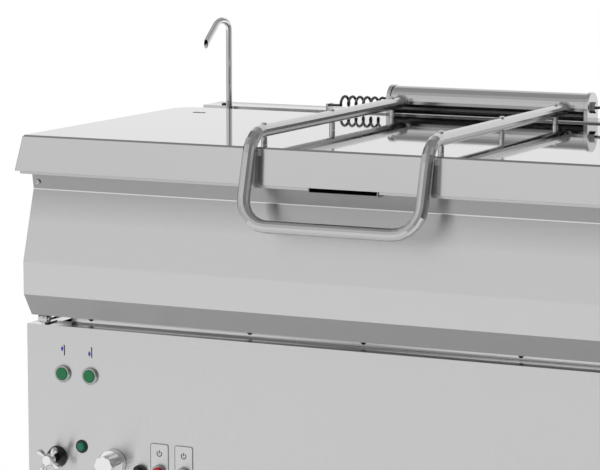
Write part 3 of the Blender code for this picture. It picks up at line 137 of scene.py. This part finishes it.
def steel(name, tone, roughness, grain=(1, 1, 1), brushed=0.0):
    """Stainless steel: fine grain, stretched one way where it is brushed, and faint smudges."""
    g = Graph(name)
    g.base((tone, tone, tone * 1.005), 1, roughness)
    fine = g.noise(900, 4, 0.6, grain)
    smudge = g.noise(5, 3, 0.55)
    tones = g.blend(smudge, (tone * 0.97,) * 3, (tone * 1.02, tone * 1.02, tone * 1.03))
    g.link(tones, g.shader.inputs["Base Color"])
    mixed = g.node("ShaderNodeMath", operation="MULTIPLY_ADD")
    g.link(fine, mixed.inputs[0])
    mixed.inputs[1].default_value = 0.04
    g.link(g.spread(smudge, 0.3, 0.7, roughness - 0.03, roughness), mixed.inputs[2])
    g.link(mixed.outputs[0], g.shader.inputs["Roughness"])
    if brushed:
        g.shader.inputs["Anisotropic"].default_value = brushed
        g.shader.inputs["Anisotropic Rotation"].default_value = 0.25
        along = g.node("ShaderNodeTangent", direction_type="RADIAL", axis="Z")
        g.link(along.outputs["Tangent"], g.shader.inputs["Tangent"])
    g.bump(fine, 0.03, 0.0002)
    return g.material


def lid_sheet():
    """The lid: mirror-bright on its flat top, brushed on its folded skirt."""
    g = Graph("lid_steel")
    g.base((0.7, 0.7, 0.705), 1, 0.05)
    coordinates = g.node("ShaderNodeTexCoord")
    split = g.node("ShaderNodeSeparateXYZ")
    g.link(coordinates.outputs["Object"], split.inputs[0])
    top = g.spread(split.outputs["Z"], LID_TOP - LID_BEND[0], LID_TOP - LID_BEND[1], 0, 1)
    smudge = g.noise(4, 3, 0.55)
    rough = g.node("ShaderNodeMix", data_type="FLOAT")
    g.link(top, rough.inputs[0])
    g.link(g.spread(smudge, 0.3, 0.7, 0.17, 0.21), rough.inputs[2])
    g.link(g.spread(smudge, 0.3, 0.7, 0.02, 0.05), rough.inputs[3])
    g.link(rough.outputs[0], g.shader.inputs["Roughness"])
    g.link(g.blend(top, (0.63, 0.63, 0.635), (0.45, 0.45, 0.455)), g.shader.inputs["Base Color"])
    g.bump(g.noise(2.4, 1, 0.4), 0.03, 0.01)
    return g.material


def skin_sheet():
    """The pan's cladding: brushed, with painted shade on the neck under the rim, below the bottom
    fold and towards the crease, and a painted highlight along the crease.
    """
    made = steel("pan_steel", SKIN_TONE, 0.26, (1, 1, 14), brushed=1.0)
    tree = made.node_tree
    nodes, links = tree.nodes, tree.links
    shader = nodes["Principled BSDF"]
    tone = shader.inputs["Base Color"].links[0].from_socket
    coordinates = nodes.new("ShaderNodeTexCoord")
    split = nodes.new("ShaderNodeSeparateXYZ")
    links.new(coordinates.outputs["Object"], split.inputs[0])
    # Painted shade darkening towards the crease, a painted highlight on the crease's line, and
    # painted shade on the neck above it and below the bottom fold
    steps = (
        (NECK_FOLD - CREASE_SHADE_SPAN, NECK_FOLD - 3 * FOLD_LINE, CREASE_SHADE_SHARE),
        (NECK_FOLD - 3 * FOLD_LINE, NECK_FOLD - 2 * FOLD_LINE, FOLD_HIGHLIGHT_SHARE / CREASE_SHADE_SHARE),
        (NECK_FOLD + FOLD_LINE, NECK_FOLD + 2 * FOLD_LINE, PAINTED_SHADE_SHARE / FOLD_HIGHLIGHT_SHARE),
        (LOW_FOLD, LOW_FOLD - FOLD_LINE, PAINTED_SHADE_SHARE),
    )
    for start, end, share in steps:
        painted_light_step = nodes.new("ShaderNodeMapRange")
        for key, value in zip(RANGE_SOCKETS, (start, end, 1, share)):
            painted_light_step.inputs[key].default_value = value
        links.new(split.outputs["Z"], painted_light_step.inputs["Value"])
        scaled = nodes.new("ShaderNodeVectorMath")
        scaled.operation = "SCALE"
        links.new(tone, scaled.inputs[0])
        links.new(painted_light_step.outputs["Result"], scaled.inputs["Scale"])
        tone = scaled.outputs[0]
    links.new(tone, shader.inputs["Base Color"])
    return made


def plastic(name, colour, roughness=0.3, texture=0.1):
    g = Graph(name)
    g.base(colour, 0, roughness)
    cloud = g.noise(60, 3)
    darker = tuple(c * 0.85 for c in colour)
    lighter = tuple(min(c * 1.12, 1) for c in colour)
    g.link(g.blend(cloud, darker, lighter), g.shader.inputs["Base Color"])
    rough = g.spread(cloud, 0.3, 0.7, roughness - 0.05, roughness + 0.08)
    g.link(rough, g.shader.inputs["Roughness"])
    g.bump(g.noise(1400, 2), texture, 0.0002)
    return g.material


def chrome_plate(name, tone=0.82, roughness=0.05):
    g = Graph(name)
    g.base((tone, tone, tone), 1, roughness)
    haze = g.noise(70, 4, 0.6)
    g.link(g.spread(haze, 0.35, 0.75, roughness, roughness + 0.07), g.shader.inputs["Roughness"])
    tones = g.blend(haze, (tone * 0.94,) * 3, (tone, tone, tone * 1.01))
    g.link(tones, g.shader.inputs["Base Color"])
    return g.material


PANEL = steel("panel_steel", 0.63, 0.26, (1, 1, 14), brushed=0.9)
SKIN = skin_sheet()
LID = lid_sheet()
TUBE = steel("tube_steel", 0.55, 0.17, (1, 1, 1))
BRIGHT = steel("bright_steel", 0.6, 0.14, (20, 1, 1))
DARK = steel("dark_steel", 0.07, 0.3)
SPRING = steel("spring_steel", 0.2, 0.35)
VESSEL = steel("vessel_steel", 0.6, 0.24)
LIP = steel("lip_steel", 0.3, 0.3)
UPSTAND = steel("upstand_steel", 0.92, 0.1)
CHROME = chrome_plate("chrome_plate")
BLACK = plastic("black_plastic", (0.012, 0.012, 0.013), 0.35)
BEZEL = chrome_plate("bezel_chrome", 0.42, 0.12)
GREEN = plastic("green_plastic", (0.0, 0.115, 0.035), 0.28)
RED = plastic("red_plastic", (0.42, 0.0, 0.008), 0.28)
LENS = plastic("green_lens", (0.0, 0.115, 0.055), 0.15, 0.02)
GREY = plastic("motor_paint", (0.12, 0.13, 0.14), 0.45)
# Black ink for the printed signs, also used for the painted shade round the plates' edges
INK_AND_EDGE_SHADE = plastic("black_ink_and_edge_shade", (0.01, 0.01, 0.012), 0.5, 0.02)
BLUE = plastic("blue_ink", (0.02, 0.02, 0.32), 0.45, 0.02)
PLATE = steel("plate_steel", 0.66, 0.28, (1, 1, 14), brushed=0.9)

FINISH = {
    "front_panel": PANEL,
    "side_panel_left": PANEL,
    "side_panel_right": PANEL,
    "rear_panel": PANEL,
    "base_tray": PANEL,
    "base_frame": PANEL,
    "rear_column": PANEL,
    "pan_cladding": SKIN,
    "pan_vessel": VESSEL,
    "pouring_lip": LIP,
    "lid": LID,
    "lid_handle": TUBE,
    "hinge_tube": BRIGHT,
    "heating_plate": DARK,
    "heating_cover": PANEL,
    "tilt_quadrant": DARK,
    "tilt_pinion": DARK,
    "tilt_gearmotor": GREY,
    "water_spout": CHROME,
    "water_elbow": CHROME,
    "thermostat_knob": CHROME,
    "thermostat_body": DARK,
    "valve_handle": CHROME,
    "valve_body": DARK,
    "lamp_body": BLACK,
    "lamp_lens": LENS,
}
BY_START = {
    "foot_": BRIGHT,
    "trunnion_": BRIGHT,
    "hinge_ear": BRIGHT,
    "hinge_bolt": BRIGHT,
    "spring_anchor": PANEL,
    "lid_spring": SPRING,
    "handle_post": CHROME,
}
for name, thing in NODES.items():
    surface = FINISH.get(name)
    for start, found in BY_START.items():
        if name.startswith(start):
            surface = found
    if name.endswith("_bezel"):
        surface = BEZEL if name.startswith(("raise", "lower", "red")) else BLACK
    if name.endswith("_cap"):
        surface = GREEN if name.startswith(("raise", "lower")) else BLACK
        if name.startswith("red"):
            surface = RED
    if surface is None:
        raise ValueError(f"no finish for {name}")
    thing.data.materials.clear()
    thing.data.materials.append(surface)


# Small pieces
def piece(name, builder, surface, body, smooth=True):
    bmesh.ops.recalc_face_normals(builder, faces=builder.faces)
    mesh = bpy.data.meshes.new(name)
    builder.to_mesh(mesh)
    builder.free()
    mesh.materials.append(surface)
    if smooth:
        mesh.shade_smooth()
        mesh.set_sharp_from_angle(angle=math.radians(40))
    thing = bpy.data.objects.new(name, mesh)
    bpy.context.scene.collection.objects.link(thing)
    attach(thing, body)


def prism(name, outline, y, depth, surface, body):
    """Flat shape in the panel's plane, from y towards the viewer by depth."""
    builder = bmesh.new()
    face = builder.faces.new([builder.verts.new((x, y, z)) for x, z in outline])
    grown = bmesh.ops.extrude_face_region(builder, geom=[face], use_keep_orig=True)
    moved = [v for v in grown["geom"] if isinstance(v, bmesh.types.BMVert)]
    bmesh.ops.translate(builder, vec=(0, -depth, 0), verts=moved)
    piece(name, builder, surface, body, smooth=False)


def lathe(name, profile, base, direction, surface, body, segments):
    """Solid of revolution from (distance, radius) pairs."""
    builder = bmesh.new()
    rings = []
    for along, radius in profile:
        ring = []
        for step in range(segments):
            angle = 2 * math.pi * step / segments
            x, y = radius * math.cos(angle), radius * math.sin(angle)
            ring.append(builder.verts.new((x, y, along)))
        rings.append(ring)
    for ring, following in zip(rings, rings[1:]):
        for step in range(segments):
            after = (step + 1) % segments
            builder.faces.new((ring[step], ring[after], following[after], following[step]))
    builder.faces.new(rings[0])
    builder.faces.new(rings[-1])
    turn = Vector((0, 0, 1)).rotation_difference(Vector(direction)).to_matrix().to_4x4()
    bmesh.ops.transform(builder, matrix=Matrix.Translation(base) @ turn, verts=builder.verts)
    piece(name, builder, surface, body)


def centre(node):
    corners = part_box(node)
    return (corners[0] + corners[1]) / 2


def rounded(x, z, width, height, radius, steps=4):
    """Outline of a rectangle with rounded corners, about its middle."""
    points = []
    for quarter, (sx, sz) in enumerate(((1, -1), (1, 1), (-1, 1), (-1, -1))):
        cx = x + sx * (width / 2 - radius)
        cz = z + sz * (height / 2 - radius)
        for step in range(steps + 1):
            angle = -math.pi / 2 + quarter * math.pi / 2 + math.pi / 2 * step / steps
            points.append((cx + radius * math.cos(angle), cz + radius * math.sin(angle)))
    return points


SCREW_SEGMENTS = 18


def screw(name, place, direction, body, radius, surface=None):
    """Domed screw head with a round socket."""
    height = radius * 0.6
    profile = (
        (0, radius),
        (height * 0.45, radius),
        (height * 0.8, radius * 0.85),
        (height, radius * 0.55),
        (height * 0.95, radius * 0.5),
        (height * 0.4, radius * 0.45),
    )
    lathe(name, profile, place, direction, surface or BRIGHT, body, SCREW_SEGMENTS)


# Signs over the green buttons: places beside and above the sign's own middle, in millimetres
SIGN_RISE = 40 * MM
SIGN_DEPTH = 0.15 * MM
SIGN_STAND = 0.05 * MM
SIGN_ARROW_RISE = 2 * MM
SIGN_BAR = ((2, -9), (4, -9), (4, 9), (1, 9), (1, 8), (2, 8))
SIGN_ARROW = ((-4.6, 0), (-1.4, 5.4), (1.6, 0), (0, 0), (0, -3.4), (-3, -3.4), (-3, 0))


def draw_symbols():
    """Raised and lowered pan signs over the green buttons: a bar with an arrow beside it."""
    for name, node, up in (("raise", "raise_button_cap", 1), ("lower", "lower_button_cap", -1)):
        middle = centre(node)
        x = middle.x
        z = middle.z + SIGN_RISE
        y = FRONT - SIGN_STAND
        bar = [(x + dx * MM, z + dz * MM) for dx, dz in SIGN_BAR]
        prism(f"sign_{name}_bar", bar, y, SIGN_DEPTH, INK_AND_EDGE_SHADE, "base")
        z += up * SIGN_ARROW_RISE
        arrow = [(x + dx * MM, z + up * dz * MM) for dx, dz in SIGN_ARROW]
        prism(f"sign_{name}_arrow", arrow, y, SIGN_DEPTH, BLUE, "base")


# Plates at the red buttons
PLATE_WIDTH = 34 * MM
PLATE_HEIGHT = 78 * MM
PLATE_RISE = 46 * MM  # from the button's middle to the plate's top
PLATE_CORNER = 4 * MM
PLATE_STAND = 1.2 * MM
PLATE_THICKNESS = 1.15 * MM
PLATE_HOLE = 11 * MM
PLATE_HOLE_STEPS = 24
PLATE_EDGE_SHADE_WIDTH = 0.9 * MM
MARK_STAND = 1.25 * MM
MARK_RISE = 29 * MM
MARK_RADII = (5.2 * MM, 3.6 * MM)
MARK_STEPS = 20
MARK_GAP = (3, 6)  # steps left open at the top
STEM_HALF = 0.8 * MM
STEM_HEIGHT = 6 * MM
STEM_DEPTH = 0.1 * MM


def circle(x, z, radius, steps):
    """Points of a circle in the panel's plane."""
    turns = [2 * math.pi * step / steps for step in range(steps)]
    return [(x + radius * math.cos(turn), z + radius * math.sin(turn)) for turn in turns]


def band(name, y, outer, inner, skipped, surface):
    """Flat strip between two outlines with equally many points."""
    builder = bmesh.new()
    first = [builder.verts.new((x, y, z)) for x, z in outer]
    second = [builder.verts.new((x, y, z)) for x, z in inner]
    for i in range(len(first)):
        if i in skipped:
            continue
        j = (i + 1) % len(first)
        builder.faces.new((first[i], first[j], second[j], second[i]))
    piece(name, builder, surface, "base", smooth=False)


def plate_sheet(side, x, z, button_z):
    """The plate itself, with a hole for the button."""
    builder = bmesh.new()
    y = FRONT - PLATE_STAND
    edge = rounded(x, z, PLATE_WIDTH, PLATE_HEIGHT, PLATE_CORNER)
    edges = []
    for outline in (edge, circle(x, button_z, PLATE_HOLE, PLATE_HOLE_STEPS)):
        loop = [builder.verts.new((px, y, pz)) for px, pz in outline]
        edges += [builder.edges.new((loop[i], loop[(i + 1) % len(loop)])) for i in range(len(loop))]
    bmesh.ops.triangle_fill(builder, edges=edges, use_beauty=True)
    grown = bmesh.ops.extrude_face_region(builder, geom=list(builder.faces), use_keep_orig=True)
    moved = [v for v in grown["geom"] if isinstance(v, bmesh.types.BMVert)]
    bmesh.ops.translate(builder, vec=(0, PLATE_THICKNESS, 0), verts=moved)
    piece(f"button_plate_{side}", builder, PLATE, "base", smooth=False)


def draw_plates():
    """Plates behind the red buttons, each with a dark band of painted shade round its raised edge
    and a small round sign.
    """
    for side in ("left", "right"):
        middle = centre(f"red_button_{side}_cap")
        x = middle.x
        z = middle.z + PLATE_RISE - PLATE_HEIGHT / 2
        plate_sheet(side, x, z, middle.z)
        y = FRONT - MARK_STAND
        rim = rounded(x, z, PLATE_WIDTH, PLATE_HEIGHT, PLATE_CORNER)
        width, height = PLATE_WIDTH - 2 * PLATE_EDGE_SHADE_WIDTH, PLATE_HEIGHT - 2 * PLATE_EDGE_SHADE_WIDTH
        inner = rounded(x, z, width, height, PLATE_CORNER - PLATE_EDGE_SHADE_WIDTH)
        # Dark band round the plate's rim: painted shade along the plate's raised edge
        band(f"button_plate_edge_shade_{side}", y, rim, inner, (), INK_AND_EDGE_SHADE)
        mark_z = middle.z + MARK_RISE
        rings = [circle(x, mark_z, radius, MARK_STEPS) for radius in MARK_RADII]
        band(f"button_sign_{side}", y, *rings, range(MARK_GAP[0], MARK_GAP[1] + 1), INK_AND_EDGE_SHADE)
        left, right, top = x - STEM_HALF, x + STEM_HALF, mark_z + STEM_HEIGHT
        stem = [(left, mark_z), (right, mark_z), (right, top), (left, top)]
        prism(f"button_sign_stem_{side}", stem, FRONT - PLATE_STAND, STEM_DEPTH, INK_AND_EDGE_SHADE, "base")


# Screws: places from the edges of what they sit on, and head radii
NECK_SCREW = (24 * MM, 13.5 * MM, 15 * MM)
NECK_SCREW_RADIUS = 4 * MM
COLUMN_SCREW = (34 * MM, 20 * MM)
COLUMN_SCREW_RADIUS = 5 * MM


def add_screws():
    """Screws at the ends of the pan's neck and along the top of the rear column."""
    inset, setback, drop = NECK_SCREW
    first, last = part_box("pan_cladding")
    for side, x in (("left", first.x + inset), ("right", last.x - inset)):
        place = (x, first.y + setback, last.z - drop)
        screw(f"neck_screw_{side}", place, (0, -1, 0), "pan", NECK_SCREW_RADIUS)
    inset, setback = COLUMN_SCREW
    first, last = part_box("rear_column")
    for index, x in enumerate((first.x + inset, 0, last.x - inset)):
        place = (x, first.y + setback, last.z)
        screw(f"column_screw_{index}", place, (0, 0, 1), "base", COLUMN_SCREW_RADIUS, DARK)


# Upstand behind the panel's top flange
UPSTAND_BACK = 46 * MM
UPSTAND_SHEET = 1 * MM
UPSTAND_FIT = 0.2 * MM
UPSTAND_ROOM = 1.5 * MM
UPSTAND_SPAN = (-540 * MM, 470 * MM)
UPSTAND_SCREWS = (-500 * MM, -198 * MM, 8 * MM, 281 * MM)
UPSTAND_SCREW_RADIUS = 4.5 * MM


def add_upstand():
    """Upstand behind the panel's top flange, with screws, seen through the gap under the pan."""
    y = FRONT + UPSTAND_BACK
    bottom = PANEL_TOP + UPSTAND_FIT
    top = low("pan_cladding").z - UPSTAND_ROOM
    left, right = UPSTAND_SPAN
    outline = [(left, bottom), (right, bottom), (right, top), (left, top)]
    prism("panel_upstand", outline, y, UPSTAND_SHEET, UPSTAND, "base")
    for index, x in enumerate(UPSTAND_SCREWS):
        place = (x, y - UPSTAND_SHEET, (bottom + top) / 2)
        screw(f"upstand_screw_{index}", place, (0, -1, 0), "base", UPSTAND_SCREW_RADIUS, DARK)


# Slot in the lid, drawn as a black sheet of painted shade: place from the corner of its flat top,
# and size
SLOT_INSET = 86 * MM
SLOT_SETBACK = 474 * MM
SLOT_SIZE = (24 * MM, 9 * MM)
SLOT_CORNER = 3 * MM
SLOT_STAND = 0.05 * MM
SLOT_HEIGHT = 0.4 * MM


def add_slot_shade():
    """Black sheet on the lid's top near its rear left corner: painted shade standing in for the
    inside of a slot.
    """
    x = low("lid").x + LID_OVERHANG + SLOT_INSET
    y = LID_FRONT + SLOT_SETBACK
    outline = rounded(x, y, *SLOT_SIZE, SLOT_CORNER)
    builder = bmesh.new()
    z = LID_TOP + SLOT_STAND
    face = builder.faces.new([builder.verts.new((px, py, z)) for px, py in outline])
    grown = bmesh.ops.extrude_face_region(builder, geom=[face], use_keep_orig=True)
    moved = [v for v in grown["geom"] if isinstance(v, bmesh.types.BMVert)]
    bmesh.ops.translate(builder, vec=(0, 0, SLOT_HEIGHT), verts=moved)
    piece("lid_slot_shade", builder, BLACK, "lid", smooth=False)


# Weld beads where the arms meet the hinge tube
ARM_RADIUS = 10.65 * MM
ARM_PLACE = 155 * MM
BEAD_RADIUS = 1.9 * MM
BEAD_RIPPLE = 0.25 * MM
BEAD_RIPPLE_TURN = 2.4
BEAD_STAND = 0.6 * MM
BEAD_STEPS = 32
BEAD_SIDES = 8


def add_welds():
    """Weld beads where the handle's arms meet the hinge tube."""
    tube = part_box("hinge_tube")
    radius = (tube[1].z - tube[0].z) / 2
    hinge = (tube[0] + tube[1]) / 2
    for side, sign in (("left", -1), ("right", 1)):
        builder = bmesh.new()
        rings = []
        for step in range(BEAD_STEPS):
            angle = 2 * math.pi * step / BEAD_STEPS
            dz = ARM_RADIUS * math.sin(angle)
            y = hinge.y - math.sqrt(radius**2 - dz**2)
            point = Vector((sign * ARM_PLACE + ARM_RADIUS * math.cos(angle), y, hinge.z + dz))
            outward = Vector((math.cos(angle), 0, math.sin(angle)))
            back = Vector((0, -1, 0))
            size = BEAD_RADIUS + BEAD_RIPPLE * math.sin(step * BEAD_RIPPLE_TURN)
            ring = []
            for turn in range(BEAD_SIDES):
                t = 2 * math.pi * turn / BEAD_SIDES
                offset = outward * (size * math.cos(t)) + back * (size * math.sin(t) + BEAD_STAND)
                ring.append(builder.verts.new(point + offset))
            rings.append(ring)
        for i in range(BEAD_STEPS):
            j = (i + 1) % BEAD_STEPS
            for turn in range(BEAD_SIDES):
                k = (turn + 1) % BEAD_SIDES
                builder.faces.new((rings[i][turn], rings[j][turn], rings[j][k], rings[i][k]))
        piece(f"handle_weld_{side}", builder, TUBE, "lid")


draw_symbols()
draw_plates()
add_screws()
add_upstand()
add_slot_shade()
add_welds()


# Camera: place from the panel's front and the lid's top, tilt below the horizon and turn in degrees
CAMERA_PLACE = (1.8132, FRONT - 3.9381, LID_TOP + 0.4765)
CAMERA_TILT = 8.05
CAMERA_TURN = 25.73
CAMERA_LENS = 164.43


def add_camera():
    """Camera of the photograph."""
    data = bpy.data.cameras.new("camera")
    data.sensor_width = 36
    data.sensor_fit = "HORIZONTAL"
    data.lens = CAMERA_LENS
    data.clip_end = 60
    camera = bpy.data.objects.new("camera", data)
    camera.location = CAMERA_PLACE
    camera.rotation_euler = (math.radians(90 - CAMERA_TILT), 0, math.radians(CAMERA_TURN))
    bpy.context.scene.collection.objects.link(camera)
    bpy.context.scene.camera = camera


# Light and floor: grey of the studio by the direction round the pan, in degrees from the front
# to the right
AROUND = (
    (-180, 0.93),
    (-154, 0.93),
    (-137, 0.9),
    (-124, 0.16),
    (-106, 0.16),
    (-94, 0.8),
    (-26, 0.95),
    (-9, 0.92),
    (14, 0.5),
    (37, 0.3),
    (61, 0.15),
    (76, 0.18),
    (84, 0.75),
    (93, 0.6),
    (106, 0.35),
    (150, 0.16),
    (166, 0.85),
    (180, 0.93),
)
# and its strength by height, from straight down to straight up
UPWARD = (
    (-1.0, 0.4),
    (-0.1, 0.8),
    (0.0, 0.92),
    (0.1, 1.05),
    (0.2, 1.15),
    (0.32, 1.25),
    (0.5, 1.0),
    (0.75, 0.85),
    (0.9, 0.6),
    (1.0, 0.5),
)
STEEP_GREY = 0.85  # grey straight above and below, where the turn round the pan has no meaning
# Where the white backdrop starts: share of the direction to the rear, and metres from the pan
# on the floor
BACKDROP_SPAN = (0.6, 0.85)
FLOOR_SPAN = (0.95, 1.5)
FLOOR_RADIUS = 7
LAMP_AIM = (0, -0.8, 0.3)
LAMP_SIZE = (2.2, 2.2)


def ramp(nodes, stops, start, end):
    """Grey ramp over a range of values."""
    made = nodes.new("ShaderNodeValToRGB")
    table = made.color_ramp
    for index, (value, grey) in enumerate(stops):
        place = (value - start) / (end - start)
        stop = table.elements[index] if index < 2 else table.elements.new(place)
        stop.position = place
        stop.color = (grey, grey, grey, 1)
    return made


def add_world():
    """Studio round the pan: light from the front left, dark to the right, white behind."""
    world = bpy.data.worlds.new("studio")
    bpy.context.scene.world = world
    world.use_nodes = True
    nodes, links = world.node_tree.nodes, world.node_tree.links
    nodes.clear()

    def math_node(operation, first, second):
        made = nodes.new("ShaderNodeMath")
        made.operation = operation
        for socket, value in zip(made.inputs, (first, second)):
            if isinstance(value, (int, float)):
                socket.default_value = value
            else:
                links.new(value, socket)
        return made.outputs[0]

    out = nodes.new("ShaderNodeOutputWorld")
    coordinates = nodes.new("ShaderNodeTexCoord")
    split = nodes.new("ShaderNodeSeparateXYZ")
    links.new(coordinates.outputs["Generated"], split.inputs[0])
    x, y, z = split.outputs
    turn = math_node("ARCTAN2", x, math_node("MULTIPLY", y, -1))
    share = math_node("MULTIPLY_ADD", turn, 1 / (2 * math.pi))
    share.node.inputs[2].default_value = 0.5
    around = ramp(nodes, AROUND, -180, 180)
    links.new(share, around.inputs["Fac"])
    upward = ramp(nodes, UPWARD, -1, 1)
    height = math_node("MULTIPLY_ADD", z, 0.5)
    height.node.inputs[2].default_value = 0.5
    links.new(height, upward.inputs["Fac"])
    level = nodes.new("ShaderNodeMix")
    level.data_type = "FLOAT"
    steep = math_node("POWER", math_node("ABSOLUTE", z, 0), 3)
    links.new(steep, level.inputs[0])
    links.new(around.outputs["Color"], level.inputs[2])
    level.inputs[3].default_value = STEEP_GREY
    strength = math_node("MULTIPLY", level.outputs[0], upward.outputs["Color"])
    lit = nodes.new("ShaderNodeBackground")
    links.new(strength, lit.inputs["Strength"])
    seen = nodes.new("ShaderNodeBackground")
    seen.inputs["Color"].default_value = (1, 1, 1, 1)
    path = nodes.new("ShaderNodeLightPath")
    glossy, passed = path.outputs["Is Glossy Ray"], path.outputs["Is Transmission Ray"]
    mirrored = math_node("MAXIMUM", glossy, passed)
    behind = nodes.new("ShaderNodeMapRange")
    for key, value in zip(RANGE_SOCKETS, (*BACKDROP_SPAN, 0, 1)):
        behind.inputs[key].default_value = value
    links.new(y, behind.inputs["Value"])
    shown = math_node("MULTIPLY", mirrored, behind.outputs["Result"])
    mix = nodes.new("ShaderNodeMixShader")
    links.new(math_node("MAXIMUM", path.outputs["Is Camera Ray"], shown), mix.inputs["Fac"])
    links.new(lit.outputs["Background"], mix.inputs[1])
    links.new(seen.outputs["Background"], mix.inputs[2])
    links.new(mix.outputs["Shader"], out.inputs["Surface"])


def add_lamp(name, place, power):
    """Soft lamp aimed at the floor before the pan; metal shows the studio and not the lamp."""
    data = bpy.data.lights.new(name, "AREA")
    data.shape = "RECTANGLE"
    data.size, data.size_y = LAMP_SIZE
    data.energy = power
    lamp = bpy.data.objects.new(name, data)
    lamp.location = place
    lamp.rotation_euler = (Vector(LAMP_AIM) - Vector(place)).to_track_quat("-Z", "Y").to_euler()
    lamp.visible_glossy = False
    bpy.context.scene.collection.objects.link(lamp)


def add_floor():
    """Pale round floor that keeps the shadow near the pan and is white farther out."""
    g = Graph("floor_paint")
    g.base((0.82, 0.82, 0.82), 0, 0.6)
    tones = g.blend(g.noise(3, 3), (0.81, 0.81, 0.81), (0.83, 0.83, 0.83))
    g.link(tones, g.shader.inputs["Base Color"])
    coordinates = g.node("ShaderNodeTexCoord")
    away = g.node("ShaderNodeVectorMath", operation="LENGTH")
    g.link(coordinates.outputs["Object"], away.inputs[0])
    path = g.node("ShaderNodeLightPath")
    seen = path.outputs["Is Camera Ray"]
    for kind in ("Is Glossy Ray", "Is Transmission Ray"):
        either = g.node("ShaderNodeMath", operation="MAXIMUM")
        g.link(seen, either.inputs[0])
        g.link(path.outputs[kind], either.inputs[1])
        seen = either.outputs[0]
    share = g.node("ShaderNodeMath", operation="MULTIPLY")
    g.link(g.spread(away.outputs["Value"], *FLOOR_SPAN, 0, 1), share.inputs[0])
    g.link(seen, share.inputs[1])
    white = g.node("ShaderNodeEmission")
    white.inputs["Color"].default_value = (1, 1, 1, 1)
    mix = g.node("ShaderNodeMixShader")
    g.link(share.outputs[0], mix.inputs["Fac"])
    g.link(g.shader.outputs["BSDF"], mix.inputs[1])
    g.link(white.outputs["Emission"], mix.inputs[2])
    g.link(mix.outputs["Shader"], g.tree.nodes["Material Output"].inputs["Surface"])
    builder = bmesh.new()
    bmesh.ops.create_circle(builder, cap_ends=True, segments=96, radius=FLOOR_RADIUS)
    mesh = bpy.data.meshes.new("floor")
    builder.to_mesh(mesh)
    builder.free()
    mesh.materials.append(g.material)
    floor = bpy.data.objects.new("floor", mesh)
    bpy.context.scene.collection.objects.link(floor)


add_camera()
add_world()
add_floor()
add_lamp("key", (-2.2, -2.6, 3.0), 90)
add_lamp("fill", (2.0, -2.6, 2.6), 60)
bpy.context.scene.view_settings.view_transform = "Standard"
